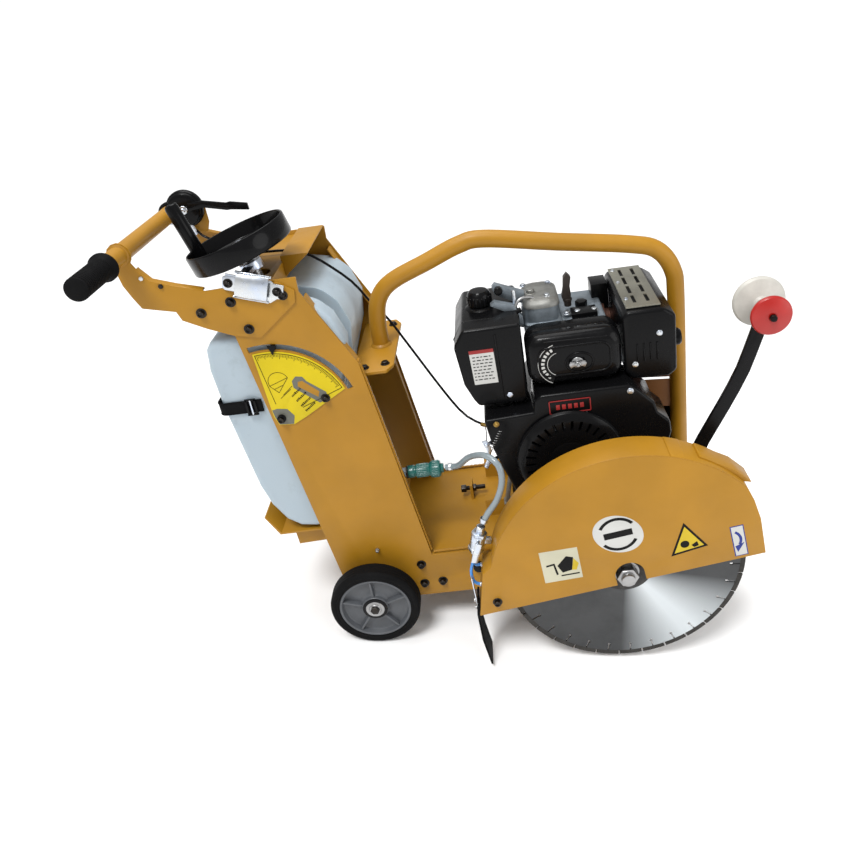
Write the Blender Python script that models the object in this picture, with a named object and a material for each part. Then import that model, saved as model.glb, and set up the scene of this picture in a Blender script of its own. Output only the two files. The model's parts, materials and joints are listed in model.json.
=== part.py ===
"""A walk-behind floor saw with a diesel engine, modelled as the separate pieces it comes apart into.

Frame of the drawing: +X forward, +Y to the machine's left, +Z up, with the origin on the rear axle, halfway
between the wheels. All numbers are millimetres in that level frame. The machine stands with its nose raised
by the front wheels, as for transport, so one empty turns the whole drawing nose-up and sets it on the floor.
"""

import math

import bmesh
import bpy
from mathutils import Matrix, Vector

MM = 0.001

# ---- driving dimensions, in mm ---------------------------------------------------------------------------
NOSE_UP = math.radians(9)
GAP = 0.3

REAR_WHEEL_R, REAR_WHEEL_W, REAR_WHEEL_Y = 90, 38, 191
FRONT_WHEEL_R, FRONT_WHEEL_W, FRONT_WHEEL_Y = 50, 30, 84
FRONT_WHEEL_X = 400
SWING_X, SWING_Z = 215, 30
SWING_HALF = math.radians(17)

PLATE_Y, PLATE_T = 150, 4
INSIDE_Y = PLATE_Y - PLATE_T - GAP
BASE_BOTTOM, DECK_TOP, DECK_T = -30, 72, 5
FRAME_FRONT = 655
RAIL_TOP, RAIL_W = 112, 20

BLADE_R, BLADE_T, BLADE_Y = 225, 3.2, -243
ARBOR_X, ARBOR_Z, ARBOR_R = 496, 70.5, 15
ARBOR_PULLEY_R, CRANK_PULLEY_R, PULLEY_Y, PULLEY_W = 60, 55, 200, 46
CRANK_X, CRANK_Z = 438, 237

GUARD_R, GUARD_FRONT_Y, GUARD_BACK_Y, GUARD_T = 266.8, -275, -210, 3
GUARD_X, GUARD_Z, GUARD_TILT = 508.4, 69.5, math.radians(8.4)

BAR_R = 15.5
BAR_X, BAR_Z = -286, 768
ARM_T = 3
THROTTLE_Y = 100

DEPTH_LEAN = math.radians(15)
DEPTH_X, DEPTH_Y, DEPTH_Z = -106, -75, 722
HANDWHEEL_R, HANDWHEEL_H = 92, 26
KNOB_R, KNOB_L = 12, 88

DIAL_X, DIAL_Z, DIAL_R = -96, 427, 134
POINTER_START = math.radians(83)

ROLL_R = 16.5
SHELF_Z = 476

POINTER_PIVOT = (600, -158, 95)
ROLLER_X, ROLLER_Z = 772, 524

COLOURS = {
    "yellow_paint": ((0.52, 0.25, 0.035), 0.35, 0.0),
    "black_paint": ((0.012, 0.012, 0.013), 0.35, 0.0),
    "black_plastic": ((0.015, 0.015, 0.016), 0.5, 0.0),
    "rubber": ((0.02, 0.02, 0.02), 0.8, 0.0),
    "tank_plastic": ((0.55, 0.60, 0.64), 0.45, 0.0),
    "steel": ((0.35, 0.35, 0.35), 0.35, 1.0),
    "zinc": ((0.60, 0.63, 0.65), 0.3, 1.0),
    "aluminium": ((0.50, 0.49, 0.46), 0.45, 1.0),
    "grey_rim": ((0.20, 0.21, 0.23), 0.5, 0.0),
    "dial_yellow": ((0.80, 0.65, 0.01), 0.4, 0.0),
    "red_plastic": ((0.60, 0.01, 0.02), 0.4, 0.0),
    "white_plastic": ((0.60, 0.58, 0.50), 0.5, 0.0),
    "clear_hose": ((0.45, 0.50, 0.50), 0.3, 0.0),
    "blue_hose": ((0.02, 0.25, 0.70), 0.3, 0.0),
    "green_plastic": ((0.01, 0.25, 0.20), 0.4, 0.0),
}


# ---- shapes ----------------------------------------------------------------------------------------------
def material(name):
    found = bpy.data.materials.get(name)
    if found:
        return found
    colour, roughness, metallic = COLOURS[name]
    made = bpy.data.materials.new(name)
    made.use_nodes = True
    shader = made.node_tree.nodes["Principled BSDF"]
    shader.inputs["Base Color"].default_value = (*colour, 1)
    shader.inputs["Roughness"].default_value = roughness
    shader.inputs["Metallic"].default_value = metallic
    return made


def pivot(name, x, y, z, parent):
    """An empty on a joint's axis, in the level frame."""
    empty = bpy.data.objects.new(name, None)
    bpy.context.scene.collection.objects.link(empty)
    empty.location = Vector((x, y, z)) * MM
    empty.parent = parent
    return empty


def place(obj, parent):
    """Hangs an object drawn in the level frame on its pivot, without moving it."""
    obj.parent = parent
    if parent.parent:
        obj.matrix_parent_inverse = Matrix.Translation(-parent.location)
    return obj


def add_mesh(name, bm, colour, parent, smooth=True):
    bmesh.ops.recalc_face_normals(bm, faces=bm.faces)
    if bm.calc_volume(signed=True) < 0:
        bmesh.ops.reverse_faces(bm, faces=bm.faces)
    mesh = bpy.data.meshes.new(name)
    bm.to_mesh(mesh)
    bm.free()
    mesh.materials.append(material(colour))
    if smooth:
        mesh.shade_smooth()
        mesh.set_sharp_from_angle(angle=math.radians(35))
    obj = bpy.data.objects.new(name, mesh)
    bpy.context.scene.collection.objects.link(obj)
    return place(obj, parent)


def prism(name, outline, y0, y1, colour, parent):
    """An (x, z) outline stretched from y0 to y1."""
    bm = bmesh.new()
    ring = [bm.verts.new((x * MM, y0 * MM, z * MM)) for x, z in outline]
    face = bm.faces.new(ring)
    made = bmesh.ops.extrude_face_region(bm, geom=[face])["geom"]
    moved = [item for item in made if isinstance(item, bmesh.types.BMVert)]
    bmesh.ops.translate(bm, verts=moved, vec=(0, (y1 - y0) * MM, 0))
    return add_mesh(name, bm, colour, parent)


def box(name, x, y, z, colour, parent):
    """x, y and z are (low, high)."""
    corners = ((x[0], z[0]), (x[1], z[0]), (x[1], z[1]), (x[0], z[1]))
    return prism(name, corners, y[0], y[1], colour, parent)


def turned(name, profile, centre, axis, colour, parent, sides=24):
    """A closed loop of (radius, along) points turned about an axis through centre; radius 0 is a pole."""
    bm = bmesh.new()
    turn = Vector((0, 0, 1)).rotation_difference(Vector(axis)).to_matrix()
    rings = []
    for radius, along in profile:
        count = 1 if radius == 0 else sides
        ring = []
        for i in range(count):
            angle = 2 * math.pi * i / sides
            local = Vector((radius * math.cos(angle), radius * math.sin(angle), along))
            ring.append(bm.verts.new((Vector(centre) + turn @ local) * MM))
        rings.append(ring)
    for low, high in zip(rings, rings[1:] + rings[:1]):
        if len(low) == len(high) == 1:
            continue
        for i in range(sides):
            j = (i + 1) % sides
            corners = [low[i % len(low)], low[j % len(low)], high[j % len(high)], high[i % len(high)]]
            bm.faces.new(list(dict.fromkeys(corners)))
    return add_mesh(name, bm, colour, parent)


def rod(name, radius, start, end, colour, parent, sides=16):
    """A plain round bar between two points."""
    along = Vector(end) - Vector(start)
    profile = [(0, 0), (radius, 0), (radius, along.length), (0, along.length)]
    return turned(name, profile, start, along.normalized(), colour, parent, sides)


def ring(name, outer, inner, centre, axis, width, colour, parent, sides=24):
    """A ring of rectangular section, centred on centre."""
    half = width / 2
    profile = [(inner, -half), (outer, -half), (outer, half), (inner, half)]
    return turned(name, profile, centre, axis, colour, parent, sides)


def smooth_route(points, spacing):
    """Evenly spaced points along a Catmull-Rom curve through the given points."""
    points = [Vector(p) for p in points]
    padded = [2 * points[0] - points[1], *points, 2 * points[-1] - points[-2]]
    dense = []
    for a, b, c, d in zip(padded, padded[1:], padded[2:], padded[3:]):
        for step in range(24):
            t = step / 24
            dense.append(
                0.5 * (2 * b + (c - a) * t + (2 * a - 5 * b + 4 * c - d) * t**2
                       + (3 * b - a - 3 * c + d) * t**3)
            )
    dense.append(points[-1])
    total = sum((q - p).length for p, q in zip(dense, dense[1:]))
    count = max(2, round(total / spacing))
    out, walked, wanted = [dense[0]], 0.0, total / count
    for p, q in zip(dense, dense[1:]):
        step = (q - p).length
        while walked + step >= wanted - 1e-9 and len(out) < count:
            out.append(p.lerp(q, (wanted - walked) / step))
            wanted += total / count
        walked += step
    return [*out, dense[-1]]


def swept(name, route, radius, colour, parent, sides=12):
    """A round bar bent along a route in one plane of constant y."""
    bm = bmesh.new()
    rings = []
    for i, point in enumerate(route):
        before, after = route[max(i - 1, 0)], route[min(i + 1, len(route) - 1)]
        along = (after - before).normalized()
        side = Vector((0, 1, 0))
        up = along.cross(side).normalized()
        angles = [2 * math.pi * k / sides for k in range(sides)]
        offsets = [side * math.cos(a) * radius + up * math.sin(a) * radius for a in angles]
        rings.append([bm.verts.new((point + offset) * MM) for offset in offsets])
    for low, high in zip(rings, rings[1:]):
        for k in range(sides):
            n = (k + 1) % sides
            bm.faces.new((low[k], low[n], high[n], high[k]))
    bm.faces.new(rings[0])
    bm.faces.new(rings[-1])
    return add_mesh(name, bm, colour, parent)


def cord(name, points, diameter, colour, parent, resolution=2):
    """A hose or cable: a bevelled curve through hand-chosen points."""
    curve = bpy.data.curves.new(name, "CURVE")
    curve.dimensions = "3D"
    curve.bevel_depth = diameter / 2 * MM
    curve.bevel_resolution = resolution
    curve.use_fill_caps = True
    route = smooth_route(points, 3 * diameter)
    spline = curve.splines.new("POLY")
    spline.points.add(len(route) - 1)
    for target, point in zip(spline.points, route):
        target.co = (*(point * MM), 1)
    curve.materials.append(material(colour))
    obj = bpy.data.objects.new(name, curve)
    bpy.context.scene.collection.objects.link(obj)
    return place(obj, parent)


def boolean(target, operation, *others):
    for other in others:
        other.hide_render = True
        other.display_type = "WIRE"
        modifier = target.modifiers.new(operation.lower(), "BOOLEAN")
        modifier.operation = operation
        modifier.object = other
    return target


def join(target, *others):
    return boolean(target, "UNION", *others)


def cut(target, *others):
    return boolean(target, "DIFFERENCE", *others)


def rounded(obj, width, segments=2):
    modifier = obj.modifiers.new("rounding", "BEVEL")
    modifier.width = width * MM
    modifier.segments = segments
    modifier.limit_method = "ANGLE"
    modifier.angle_limit = math.radians(40)
    return obj


def arc(x, z, radius, start, end, steps):
    """Points along an arc, start and end in radians."""
    angles = [start + (end - start) * i / steps for i in range(steps + 1)]
    return [(x + radius * math.cos(a), z + radius * math.sin(a)) for a in angles]


def turn_about(obj, x, z, angle):
    """Turns an object drawn in the level frame about a line along Y through (x, z), nose up."""
    centre = Matrix.Translation(Vector((x, 0, z)) * MM)
    obj.data.transform(centre @ Matrix.Rotation(-angle, 4, "Y") @ centre.inverted())
    return obj


# ---- frame, console and handle ---------------------------------------------------------------------------
CONSOLE_REAR = ((-56, BASE_BOTTOM), (-137, 598))
CONSOLE_FRONT = ((124, DECK_TOP), (64, 518))


def side_outline():
    hump = arc(ARBOR_X, ARBOR_Z, 52, math.radians(178), math.radians(2), 8)
    base = [(-56, BASE_BOTTOM), (FRAME_FRONT, BASE_BOTTOM), (FRAME_FRONT, DECK_TOP)]
    console = [(124, DECK_TOP), (64, 518), (-9, 663), (-8, 689), (-128, 689), (-137, 598)]
    return base + hump[::-1] + console


def side_plates(machine):
    for side, name in ((-1, "right_side_plate"), (1, "left_side_plate")):
        outer, inner = side * PLATE_Y, side * (PLATE_Y - PLATE_T)
        plate = prism(name, side_outline(), outer, inner, "yellow_paint", machine)
        (x0, z0), (x1, z1) = CONSOLE_FRONT
        lip = [(x0 - 1, z0 + 8), (x1 - 1, z1 - 2), (x1 - 5, z1 - 2), (x0 - 5, z0 + 8)]
        flange = prism(name + "_flange", lip, inner + side, side * (PLATE_Y - 24), "yellow_paint", machine)
        join(plate, flange)
        hole = rod(name + "_bore", ARBOR_R + 14, (ARBOR_X, outer + 5 * side, ARBOR_Z),
                   (ARBOR_X, inner - 5 * side, ARBOR_Z), "steel", machine)
        axle = rod(name + "_axle_bore", 12.5 + GAP, (0, outer + 5 * side, 0), (0, inner - 5 * side, 0),
                   "steel", machine)
        shaft = rod(name + "_swing_bore", 12 + GAP, (SWING_X, outer + 5 * side, SWING_Z),
                    (SWING_X, inner - 5 * side, SWING_Z), "steel", machine)
        cut(plate, hole, axle, shaft)
        if side < 0:
            cut(plate, rod("pointer_bore", 5.5, (DIAL_X, outer - 5, DIAL_Z), (DIAL_X, inner + 5, DIAL_Z),
                           "steel", machine))
            band = arc(DIAL_X, DIAL_Z, 148, math.radians(17), math.radians(101), 14)
            band += arc(DIAL_X, DIAL_Z, 137, math.radians(101), math.radians(17), 14)
            cut(plate, prism("dial_slot", band, outer - 5, inner + 5, "steel", machine))


def engine_deck(machine):
    """The deck in two parts, before and behind the arbor, tied by the two rails that the engine stands on."""
    rear = box("engine_deck", (62, 450), (-INSIDE_Y, INSIDE_Y), (DECK_TOP - DECK_T, DECK_TOP),
               "yellow_paint", machine)
    front = [(542, DECK_TOP), (542, DECK_TOP - DECK_T), (FRAME_FRONT - DECK_T, DECK_TOP - DECK_T)]
    front += [(FRAME_FRONT - DECK_T, BASE_BOTTOM), (FRAME_FRONT, BASE_BOTTOM), (FRAME_FRONT, DECK_TOP)]
    nose = prism("front_deck", front, -INSIDE_Y, INSIDE_Y, "yellow_paint", machine)
    pieces = [nose]
    rail = [(240, DECK_TOP - 2), (450, DECK_TOP - 2), (454, 90), (538, 90), (542, DECK_TOP - 2)]
    rail += [(604, DECK_TOP - 2), (604, RAIL_TOP), (240, RAIL_TOP)]
    for i, y in enumerate((-45, 98)):
        pieces.append(prism(f"rail_{i}", rail, y, y + RAIL_W, "yellow_paint", machine))
    pieces.append(box("tension_lug", (206, 212), (20, 52), (DECK_TOP - 1, 108), "yellow_paint", machine))
    join(rear, *pieces)
    wells = [rod("tension_bore", 5 + GAP, (200, 36, 92), (220, 36, 92), "steel", machine, 12)]
    for side in (-1, 1):
        y = sorted((side * (FRONT_WHEEL_Y - 22), side * (FRONT_WHEEL_Y + 22)))
        wells.append(box(f"wheel_well_{side}", (405, 460), y, (60, 78), "steel", machine))
    wells.append(box("screw_slot", (55, 92), (DEPTH_Y - 16, DEPTH_Y + 16), (60, 80), "steel", machine))
    cut(rear, *wells)


def tension_bolt(machine):
    """The bolt in the deck's lug that pushes the engine along to tighten the belt."""
    axis = pivot("tension_bolt_pivot", 209, 36, 92, machine)
    bolt = rod("tension_bolt", 5, (196, 36, 92), (239, 36, 92), "zinc", axis, 12)
    head = rod("tension_head", 9, (186, 36, 92), (197, 36, 92), "zinc", axis, 6)
    join(bolt, head)


def roll_bar(machine):
    rear = [(84, 0, SHELF_Z + 3), (86, 0, 530), (97, 0, 575), (128, 0, 606), (200, 0, 635), (262, 0, 659)]
    front = [(310, 0, 664), (440, 0, 640), (575, 0, 616), (625, 0, 598), (652, 0, 556), (657, 0, 500)]
    route = smooth_route([*rear, *front, (657, 0, 300), (657, 0, DECK_TOP + 3)], 34)
    bar = swept("roll_bar", route, ROLL_R, "yellow_paint", machine, 10)
    shelf_outline = [(40, -118), (104, -118), (116, -96), (116, 96), (104, 118), (40, 118)]
    bm = bmesh.new()
    face = bm.faces.new([bm.verts.new((x * MM, y * MM, (SHELF_Z - 2) * MM)) for x, y in shelf_outline])
    made = bmesh.ops.extrude_face_region(bm, geom=[face])["geom"]
    lifted = [item for item in made if isinstance(item, bmesh.types.BMVert)]
    bmesh.ops.translate(bm, verts=lifted, vec=(0, 0, 6 * MM))
    shelf = add_mesh("roll_bar_shelf", bm, "yellow_paint", machine)
    foot = box("roll_bar_foot", (612, 680), (-34, 34), (DECK_TOP + GAP, DECK_TOP + 6),
               "yellow_paint", machine)
    join(bar, shelf, foot)


def console_cover(machine):
    sheet = [(-124, 596), (-121, 596), (-121, 678), (-61, 678)]
    sheet += [(-61, 650), (-58, 650), (-58, 681), (-124, 681)]
    cover = prism("console_cover", sheet, -INSIDE_Y, INSIDE_Y, "yellow_paint", machine)
    lean = Vector((math.sin(DEPTH_LEAN), 0, -math.cos(DEPTH_LEAN)))
    top = Vector((DEPTH_X, DEPTH_Y, DEPTH_Z))
    cut(cover, rod("screw_hole", 24, top - lean * 10, top + lean * 75, "steel", machine))


def handle_arm(name, side, y, machine):
    """A plate with a folded lip, from the console's ear up to the handlebar."""
    back = [(-272, 752), (-262, 732), (-250, 717), (-210, 702), (-164, 687)]
    ear = [(-128, 688), (-40, 686), (-14, 668), (-18, 646), (-92, 590), (-137, 600), (-179, 619)]
    under = [(-217, 640), (-223, 657), (-278, 671), (-288, 692), (-297, 715), (-302, 752)]
    cap = arc(BAR_X, BAR_Z, BAR_R + 5, math.radians(200), math.radians(-30), 8)
    web = prism(name, cap + back + ear + under, y, y + side * ARM_T, "yellow_paint", machine)
    lips = []
    top = [(-268, 740), (-250, 717), (-212, 703), (-168, 690)]
    top += [(-168, 687), (-212, 700), (-252, 714), (-271, 738)]
    low = [(-224, 657), (-277, 671), (-277, 674), (-224, 660)]
    for i, lip in enumerate((top, low)):
        lips.append(prism(f"{name}_lip_{i}", lip, y, y - side * 12, "yellow_paint", machine))
    join(web, *lips)
    bore = rod(name + "_bore", BAR_R + GAP, (BAR_X, y - 20, BAR_Z), (BAR_X, y + 20, BAR_Z),
               "steel", machine, 20)
    cut(web, bore)


def handle(machine):
    handle_arm("right_handle_arm", -1, -PLATE_Y - GAP, machine)
    handle_arm("left_handle_arm", 1, PLATE_Y + GAP, machine)
    rod("handle_bar", BAR_R, (BAR_X, -306, BAR_Z), (BAR_X, 168, BAR_Z), "yellow_paint", machine, 20)
    grip = [(BAR_R + GAP, 0), (24, 0), (24, 7), (19, 12), (18, 55), (19, 96), (17, 102), (0, 103),
            (0, 97), (BAR_R + GAP, 97)]
    turned("right_grip", grip, (BAR_X, -210, BAR_Z), (0, -1, 0), "rubber", machine, 20)
    x, y, z = BAR_X + 30, THROTTLE_Y, BAR_Z + 4
    body = rod("throttle_body", 36, (x, y - 4, z), (x, y + 8, z), "black_plastic", machine, 24)
    plate = box("throttle_plate", (x - 18, x + 37), (y + 6, y + 10), (z - 50, z + 6),
                "yellow_paint", machine)
    clamp = ring("throttle_clamp", BAR_R + 6, BAR_R, (BAR_X, y + 2, BAR_Z), (0, 1, 0), 12,
                 "black_plastic", machine, 20)
    clamp_neck = box("throttle_neck", (BAR_X + 18, x - 10), (y - 3, y + 7), (BAR_Z - 8, BAR_Z + 8),
                     "steel", machine)
    join(body, clamp_neck, plate, clamp)
    cut(body, rod("throttle_bore", BAR_R + GAP, (BAR_X, y - 30, BAR_Z), (BAR_X, y + 30, BAR_Z),
                  "steel", machine, 20))


# ---- water tank, dial, depth control ---------------------------------------------------------------------
def water_tank(machine):
    rear = [(-208, 530), (-204, 449), (-194, 363), (-183, 272)]
    rear += [(-171, 227), (-150, 188), (-125, 169), (-95, 164)]
    front = [(-40, 164), (-22, 182), (-22, 320), (8, 420), (38, 500), (46, 556), (30, 602), (4, 630)]
    top = [(-60, 645), (-104, 640), (-112, 590), (-150, 592), (-190, 588), (-203, 570)]
    tank = prism("water_tank", rear + front + top, -138, 138, "tank_plastic", machine)
    lean = Vector((math.sin(DEPTH_LEAN), 0, -math.cos(DEPTH_LEAN)))
    centre = Vector((DEPTH_X, DEPTH_Y, DEPTH_Z))
    high, low = centre + lean * 40, centre + lean * 560
    channel = [(high.x - 22, high.z), (high.x + 260, high.z), (low.x + 260, low.z), (low.x - 22, low.z)]
    cut(tank, prism("screw_channel", channel, DEPTH_Y - 22, DEPTH_Y + 22, "steel", machine))
    spout = rod("tank_spout", 9, (-40, -110, 250), (104, -110, 250), "tank_plastic", machine, 12)
    neck = rod("filler_neck", 24, (-168, 20, 575), (-176, 20, 606), "tank_plastic", machine, 20)
    join(tank, spout, neck)
    axis = pivot("tank_cap_pivot", -176, 20, 606, machine)
    turned("tank_cap", [(0, 0), (30, 0), (30, 15), (26, 18), (0, 18)], (-176.3, 20, 607.2),
           Vector((-8, 0, 31)).normalized(), "black_plastic", axis, 20)
    turned("hose_connector", [(0, 0), (13, 0), (13, 44), (16, 46), (16, 64), (9, 70), (0, 70)],
           (104.5, -110, 250), (1, 0, 0), "green_plastic", machine, 16)


def tank_strap(machine):
    """A webbing band round the back of the tank, between the two side plates."""
    path = [(-128, -142), (-208, -142), (-212, -138), (-212, 138), (-208, 142), (-128, 142)]
    inner = [(-128, -140), (-207, -140), (-209, -137), (-209, 137), (-207, 140), (-128, 140)]
    bm = bmesh.new()
    ring_points = [*path, *inner[::-1]]
    face = bm.faces.new([bm.verts.new((x * MM, y * MM, 0)) for x, y in ring_points])
    made = bmesh.ops.extrude_face_region(bm, geom=[face])["geom"]
    lifted = [item for item in made if isinstance(item, bmesh.types.BMVert)]
    bmesh.ops.translate(bm, verts=lifted, vec=(0, 0, 26 * MM))
    bmesh.ops.translate(bm, verts=bm.verts, vec=(0, 0, 440 * MM))
    add_mesh("tank_strap", bm, "black_plastic", machine)


def tank_tray(machine):
    sheet = [(-190, 200), (-168, 158), (-60, 158), (-60, 154), (-171, 154), (-193, 199)]
    tray = prism("tank_tray", sheet, -136, 136, "yellow_paint", machine)
    webs = []
    for i, y in enumerate((-120, 116)):
        gusset = [(-146, 156), (-66, 156), (-66, 118), (-144, 114)]
        webs.append(prism(f"tray_gusset_{i}", gusset, y, y + 4, "yellow_paint", machine))
    webs.append(box("tray_tie", (-70, -62), (-INSIDE_Y, INSIDE_Y), (118, 158), "yellow_paint", machine))
    join(tray, *webs)


def dial(machine):
    outline = arc(DIAL_X, DIAL_Z, DIAL_R, math.radians(19), math.radians(99), 14)
    outline += [(DIAL_X - 14, DIAL_Z + 4), (DIAL_X - 8, DIAL_Z - 14)]
    outline += [(DIAL_X + 20, DIAL_Z - 16), (DIAL_X + 44, DIAL_Z - 4)]
    y = -PLATE_Y - GAP
    plate = prism("depth_dial", outline, y, y - 1.5, "dial_yellow", machine)
    cut(plate, rod("dial_bore", 5, (DIAL_X, y + 5, DIAL_Z), (DIAL_X, y - 5, DIAL_Z), "steel", machine))
    axis = pivot("depth_pointer_pivot", DIAL_X, -PLATE_Y, DIAL_Z, machine)
    hand = rod("depth_pointer", 4.5, (DIAL_X, -157, DIAL_Z), (DIAL_X, -141.5, DIAL_Z), "black_paint", axis)
    along = Vector((math.cos(POINTER_START), 0, math.sin(POINTER_START)))
    across = Vector((-along.z, 0, along.x))
    start = Vector((DIAL_X, 0, DIAL_Z))
    tip = start + along * 142.5
    far = start + along * 146
    strip = [start - across * 5, far - across * 4, far + across * 4, start + across * 5]
    arm = prism("pointer_strip", [(p.x, p.z) for p in strip], -144.5, -141, "black_paint", axis)
    pin = rod("pointer_pin", 3.5, (tip.x, -143, tip.z), (tip.x, -153, tip.z), "black_paint", axis, 10)
    head = [start + along * 128, start + along * 147 - across * 9, start + along * 147 + across * 9]
    mark = prism("pointer_head", [(p.x, p.z) for p in head], -152.4, -154, "black_paint", axis)
    cap = rod("pointer_bolt", 8, (DIAL_X, -152.4, DIAL_Z), (DIAL_X, -158, DIAL_Z), "black_paint", axis, 12)
    join(hand, arm, pin, mark, cap)


def depth_control(machine):
    down = Vector((math.sin(DEPTH_LEAN), 0, -math.cos(DEPTH_LEAN)))
    hub = Vector((DEPTH_X, DEPTH_Y, DEPTH_Z))
    axis = pivot("depth_handwheel_pivot", *hub, machine)
    rim = HANDWHEEL_R
    dish = [(0, -2), (14, -2), (14, 8), (rim - 8, 6), (rim - 5, 10), (rim - 5, 10 + HANDWHEEL_H),
            (rim, 10 + HANDWHEEL_H), (rim, 0), (24, -4), (10, -16), (0, -16)]
    wheel = turned("depth_handwheel", dish[::-1], hub, -down, "black_plastic", axis, 24)
    forward = Vector((math.cos(DEPTH_LEAN), 0, math.sin(DEPTH_LEAN)))
    foot = hub - forward * (rim - 18) - down * 8
    knob_axis = pivot("crank_knob_pivot", *foot, machine)
    knob = [(0, 0), (KNOB_R - 2, 0), (KNOB_R, 6), (KNOB_R, KNOB_L + 20), (KNOB_R - 3, KNOB_L + 26)]
    turned("crank_knob", [*knob, (0, KNOB_L + 26)], foot - down * 1.5, -down, "black_plastic", knob_axis, 16)
    screw = [(0, 0), (7, 0), (10, 6), (10, 780), (8, 784), (0, 784)]
    turned("depth_screw", screw, hub + down * 16.3, down, "steel", axis, 16)
    support = [(-121, 714), (-48, 690), (-30, 664), (-58, 652), (-108, 672)]
    zinc = prism("screw_bracket", support, -PLATE_Y - 3.6 - 2 * GAP, -PLATE_Y - 6.6, "zinc", machine)
    collar_at = hub + down * 26
    collar = ring("screw_collar", 20, 10 + GAP, collar_at, down, 16, "zinc", machine, 20)
    strap = box("collar_strap", (collar_at.x - 9, collar_at.x + 9), (-PLATE_Y - 6.6, DEPTH_Y - 12),
                (collar_at.z - 4, collar_at.z + 4), "zinc", machine)
    join(zinc, strap, collar)
    cut(zinc, rod("collar_bore", 10 + GAP, hub + down * 5, hub + down * 70, "steel", machine, 20))
    swing = Vector((SWING_X, DEPTH_Y, SWING_Z)) - hub
    reach = abs(swing.x * down.z - swing.z * down.x)
    nut_at = hub + down * (swing.dot(down) - reach * math.tan(SWING_HALF))
    nut = pivot("screw_nut_pivot", *nut_at, machine)
    block = turned("screw_nut", [(10 + GAP, -16), (19, -16), (19, 16), (10 + GAP, 16)], nut_at, down,
                   "steel", nut, 20)
    half_pin = Vector((0, 29, 0))
    pin = rod("nut_pin", 7, nut_at - half_pin, nut_at + half_pin, "steel", nut, 12)
    join(block, pin)
    cut(block, rod("nut_bore", 10 + GAP, nut_at - down * 40, nut_at + down * 40, "steel", nut, 20))
    return nut_at


# ---- wheels ----------------------------------------------------------------------------------------------
def rear_wheels(machine):
    rod("rear_axle", 12.5, (0, -212, 0), (0, 212, 0), "steel", machine)
    r, w = REAR_WHEEL_R, REAR_WHEEL_W / 2
    for side, name in ((-1, "right"), (1, "left")):
        centre = (0, side * REAR_WHEEL_Y, 0)
        axis = pivot(f"rear_wheel_{name}_pivot", *centre, machine)
        rim = [(12.5 + GAP, -w + 1), (26, -w + 1), (26, -5), (62, -4), (66, -w + 2), (72, -w + 2),
               (72, w - 2), (66, w - 2), (62, 4), (26, 5), (26, w - 1), (12.5 + GAP, w - 1)]
        turned(f"rear_rim_{name}", rim, centre, (0, 1, 0), "grey_rim", axis, 28)
        tyre = [(72 + GAP, -w + 1), (80, -w), (r - 3, -w + 2), (r, -w + 7),
                (r, w - 7), (r - 3, w - 2), (80, w), (72 + GAP, w - 1)]
        turned(f"rear_tyre_{name}", tyre, centre, (0, 1, 0), "rubber", axis, 28)


def front_gear(nut_at, machine):
    """The frame that swings the two front wheels down, with its lever back to the nut of the depth screw."""
    axis = pivot("swing_frame_pivot", SWING_X, 0, SWING_Z, machine)
    wheel_z = floor_under(FRONT_WHEEL_X) + FRONT_WHEEL_R / math.cos(NOSE_UP)
    tube = rod("swing_frame", 12, (SWING_X, -PLATE_Y - 6, SWING_Z), (SWING_X, PLATE_Y + 6, SWING_Z),
               "black_paint", axis)
    sleeve = rod("swing_sleeve", 18, (SWING_X, -125, SWING_Z), (SWING_X, 125, SWING_Z), "black_paint", axis)
    along = Vector((FRONT_WHEEL_X - SWING_X, 0, wheel_z - SWING_Z)).normalized()
    up = Vector((-along.z, 0, along.x))
    hub, end = Vector((SWING_X, 0, SWING_Z)), Vector((FRONT_WHEEL_X, 0, wheel_z))
    near_end, far_end = hub + along * 8, end + along * 14
    arm = [near_end - up * 15, far_end - up * 12, far_end + up * 12, near_end + up * 15]
    pieces = [sleeve]
    for i, y in enumerate((-66, 58)):
        pieces.append(prism(f"swing_arm_{i}", [(p.x, p.z) for p in arm], y, y + 8, "black_paint", axis))
    pieces.append(rod("front_axle", 8, (end.x, -103, end.z), (end.x, 103, end.z), "steel", axis, 14))
    pin = Vector((nut_at.x, 0, nut_at.z))
    back = (pin - hub).normalized()
    high = Vector((-back.z, 0, back.x))
    root, tip = hub + back * 6, pin + back * 16
    lever = [root - high * 12, tip - high * 14, tip + high * 14, root + high * 12]
    inner, outer = pin - back * 14.5, pin + back * 8.5
    slot = [inner - high * 8, outer - high * 8, outer + high * 8, inner + high * 8]
    for i, y in enumerate((DEPTH_Y - 28, DEPTH_Y + 21)):
        side = prism(f"swing_lever_{i}", [(p.x, p.z) for p in lever], y, y + 7, "black_paint", axis)
        cut(side, prism(f"lever_slot_{i}", [(p.x, p.z) for p in slot], y - 3, y + 10, "steel", axis))
        pieces.append(side)
    join(tube, *pieces)
    r, w = FRONT_WHEEL_R, FRONT_WHEEL_W / 2
    for side, name in ((-1, "right"), (1, "left")):
        centre = (FRONT_WHEEL_X, side * FRONT_WHEEL_Y, wheel_z)
        spin = pivot(f"front_wheel_{name}_pivot", *centre, machine)
        profile = [(8 + GAP, -w), (18, -w), (20, -7), (40, -7), (43, -w + 1), (r - 4, -w), (r, -w + 5),
                   (r, w - 5), (r - 4, w), (43, w - 1), (40, 7), (20, 7), (18, w), (8 + GAP, w)]
        turned(f"front_wheel_{name}", profile, centre, (0, 1, 0), "rubber", spin, 24)


def floor_under(x):
    """Height of the floor under a point of the level frame, with the nose raised."""
    return -(REAR_WHEEL_R + x * math.sin(NOSE_UP)) / math.cos(NOSE_UP)


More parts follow.
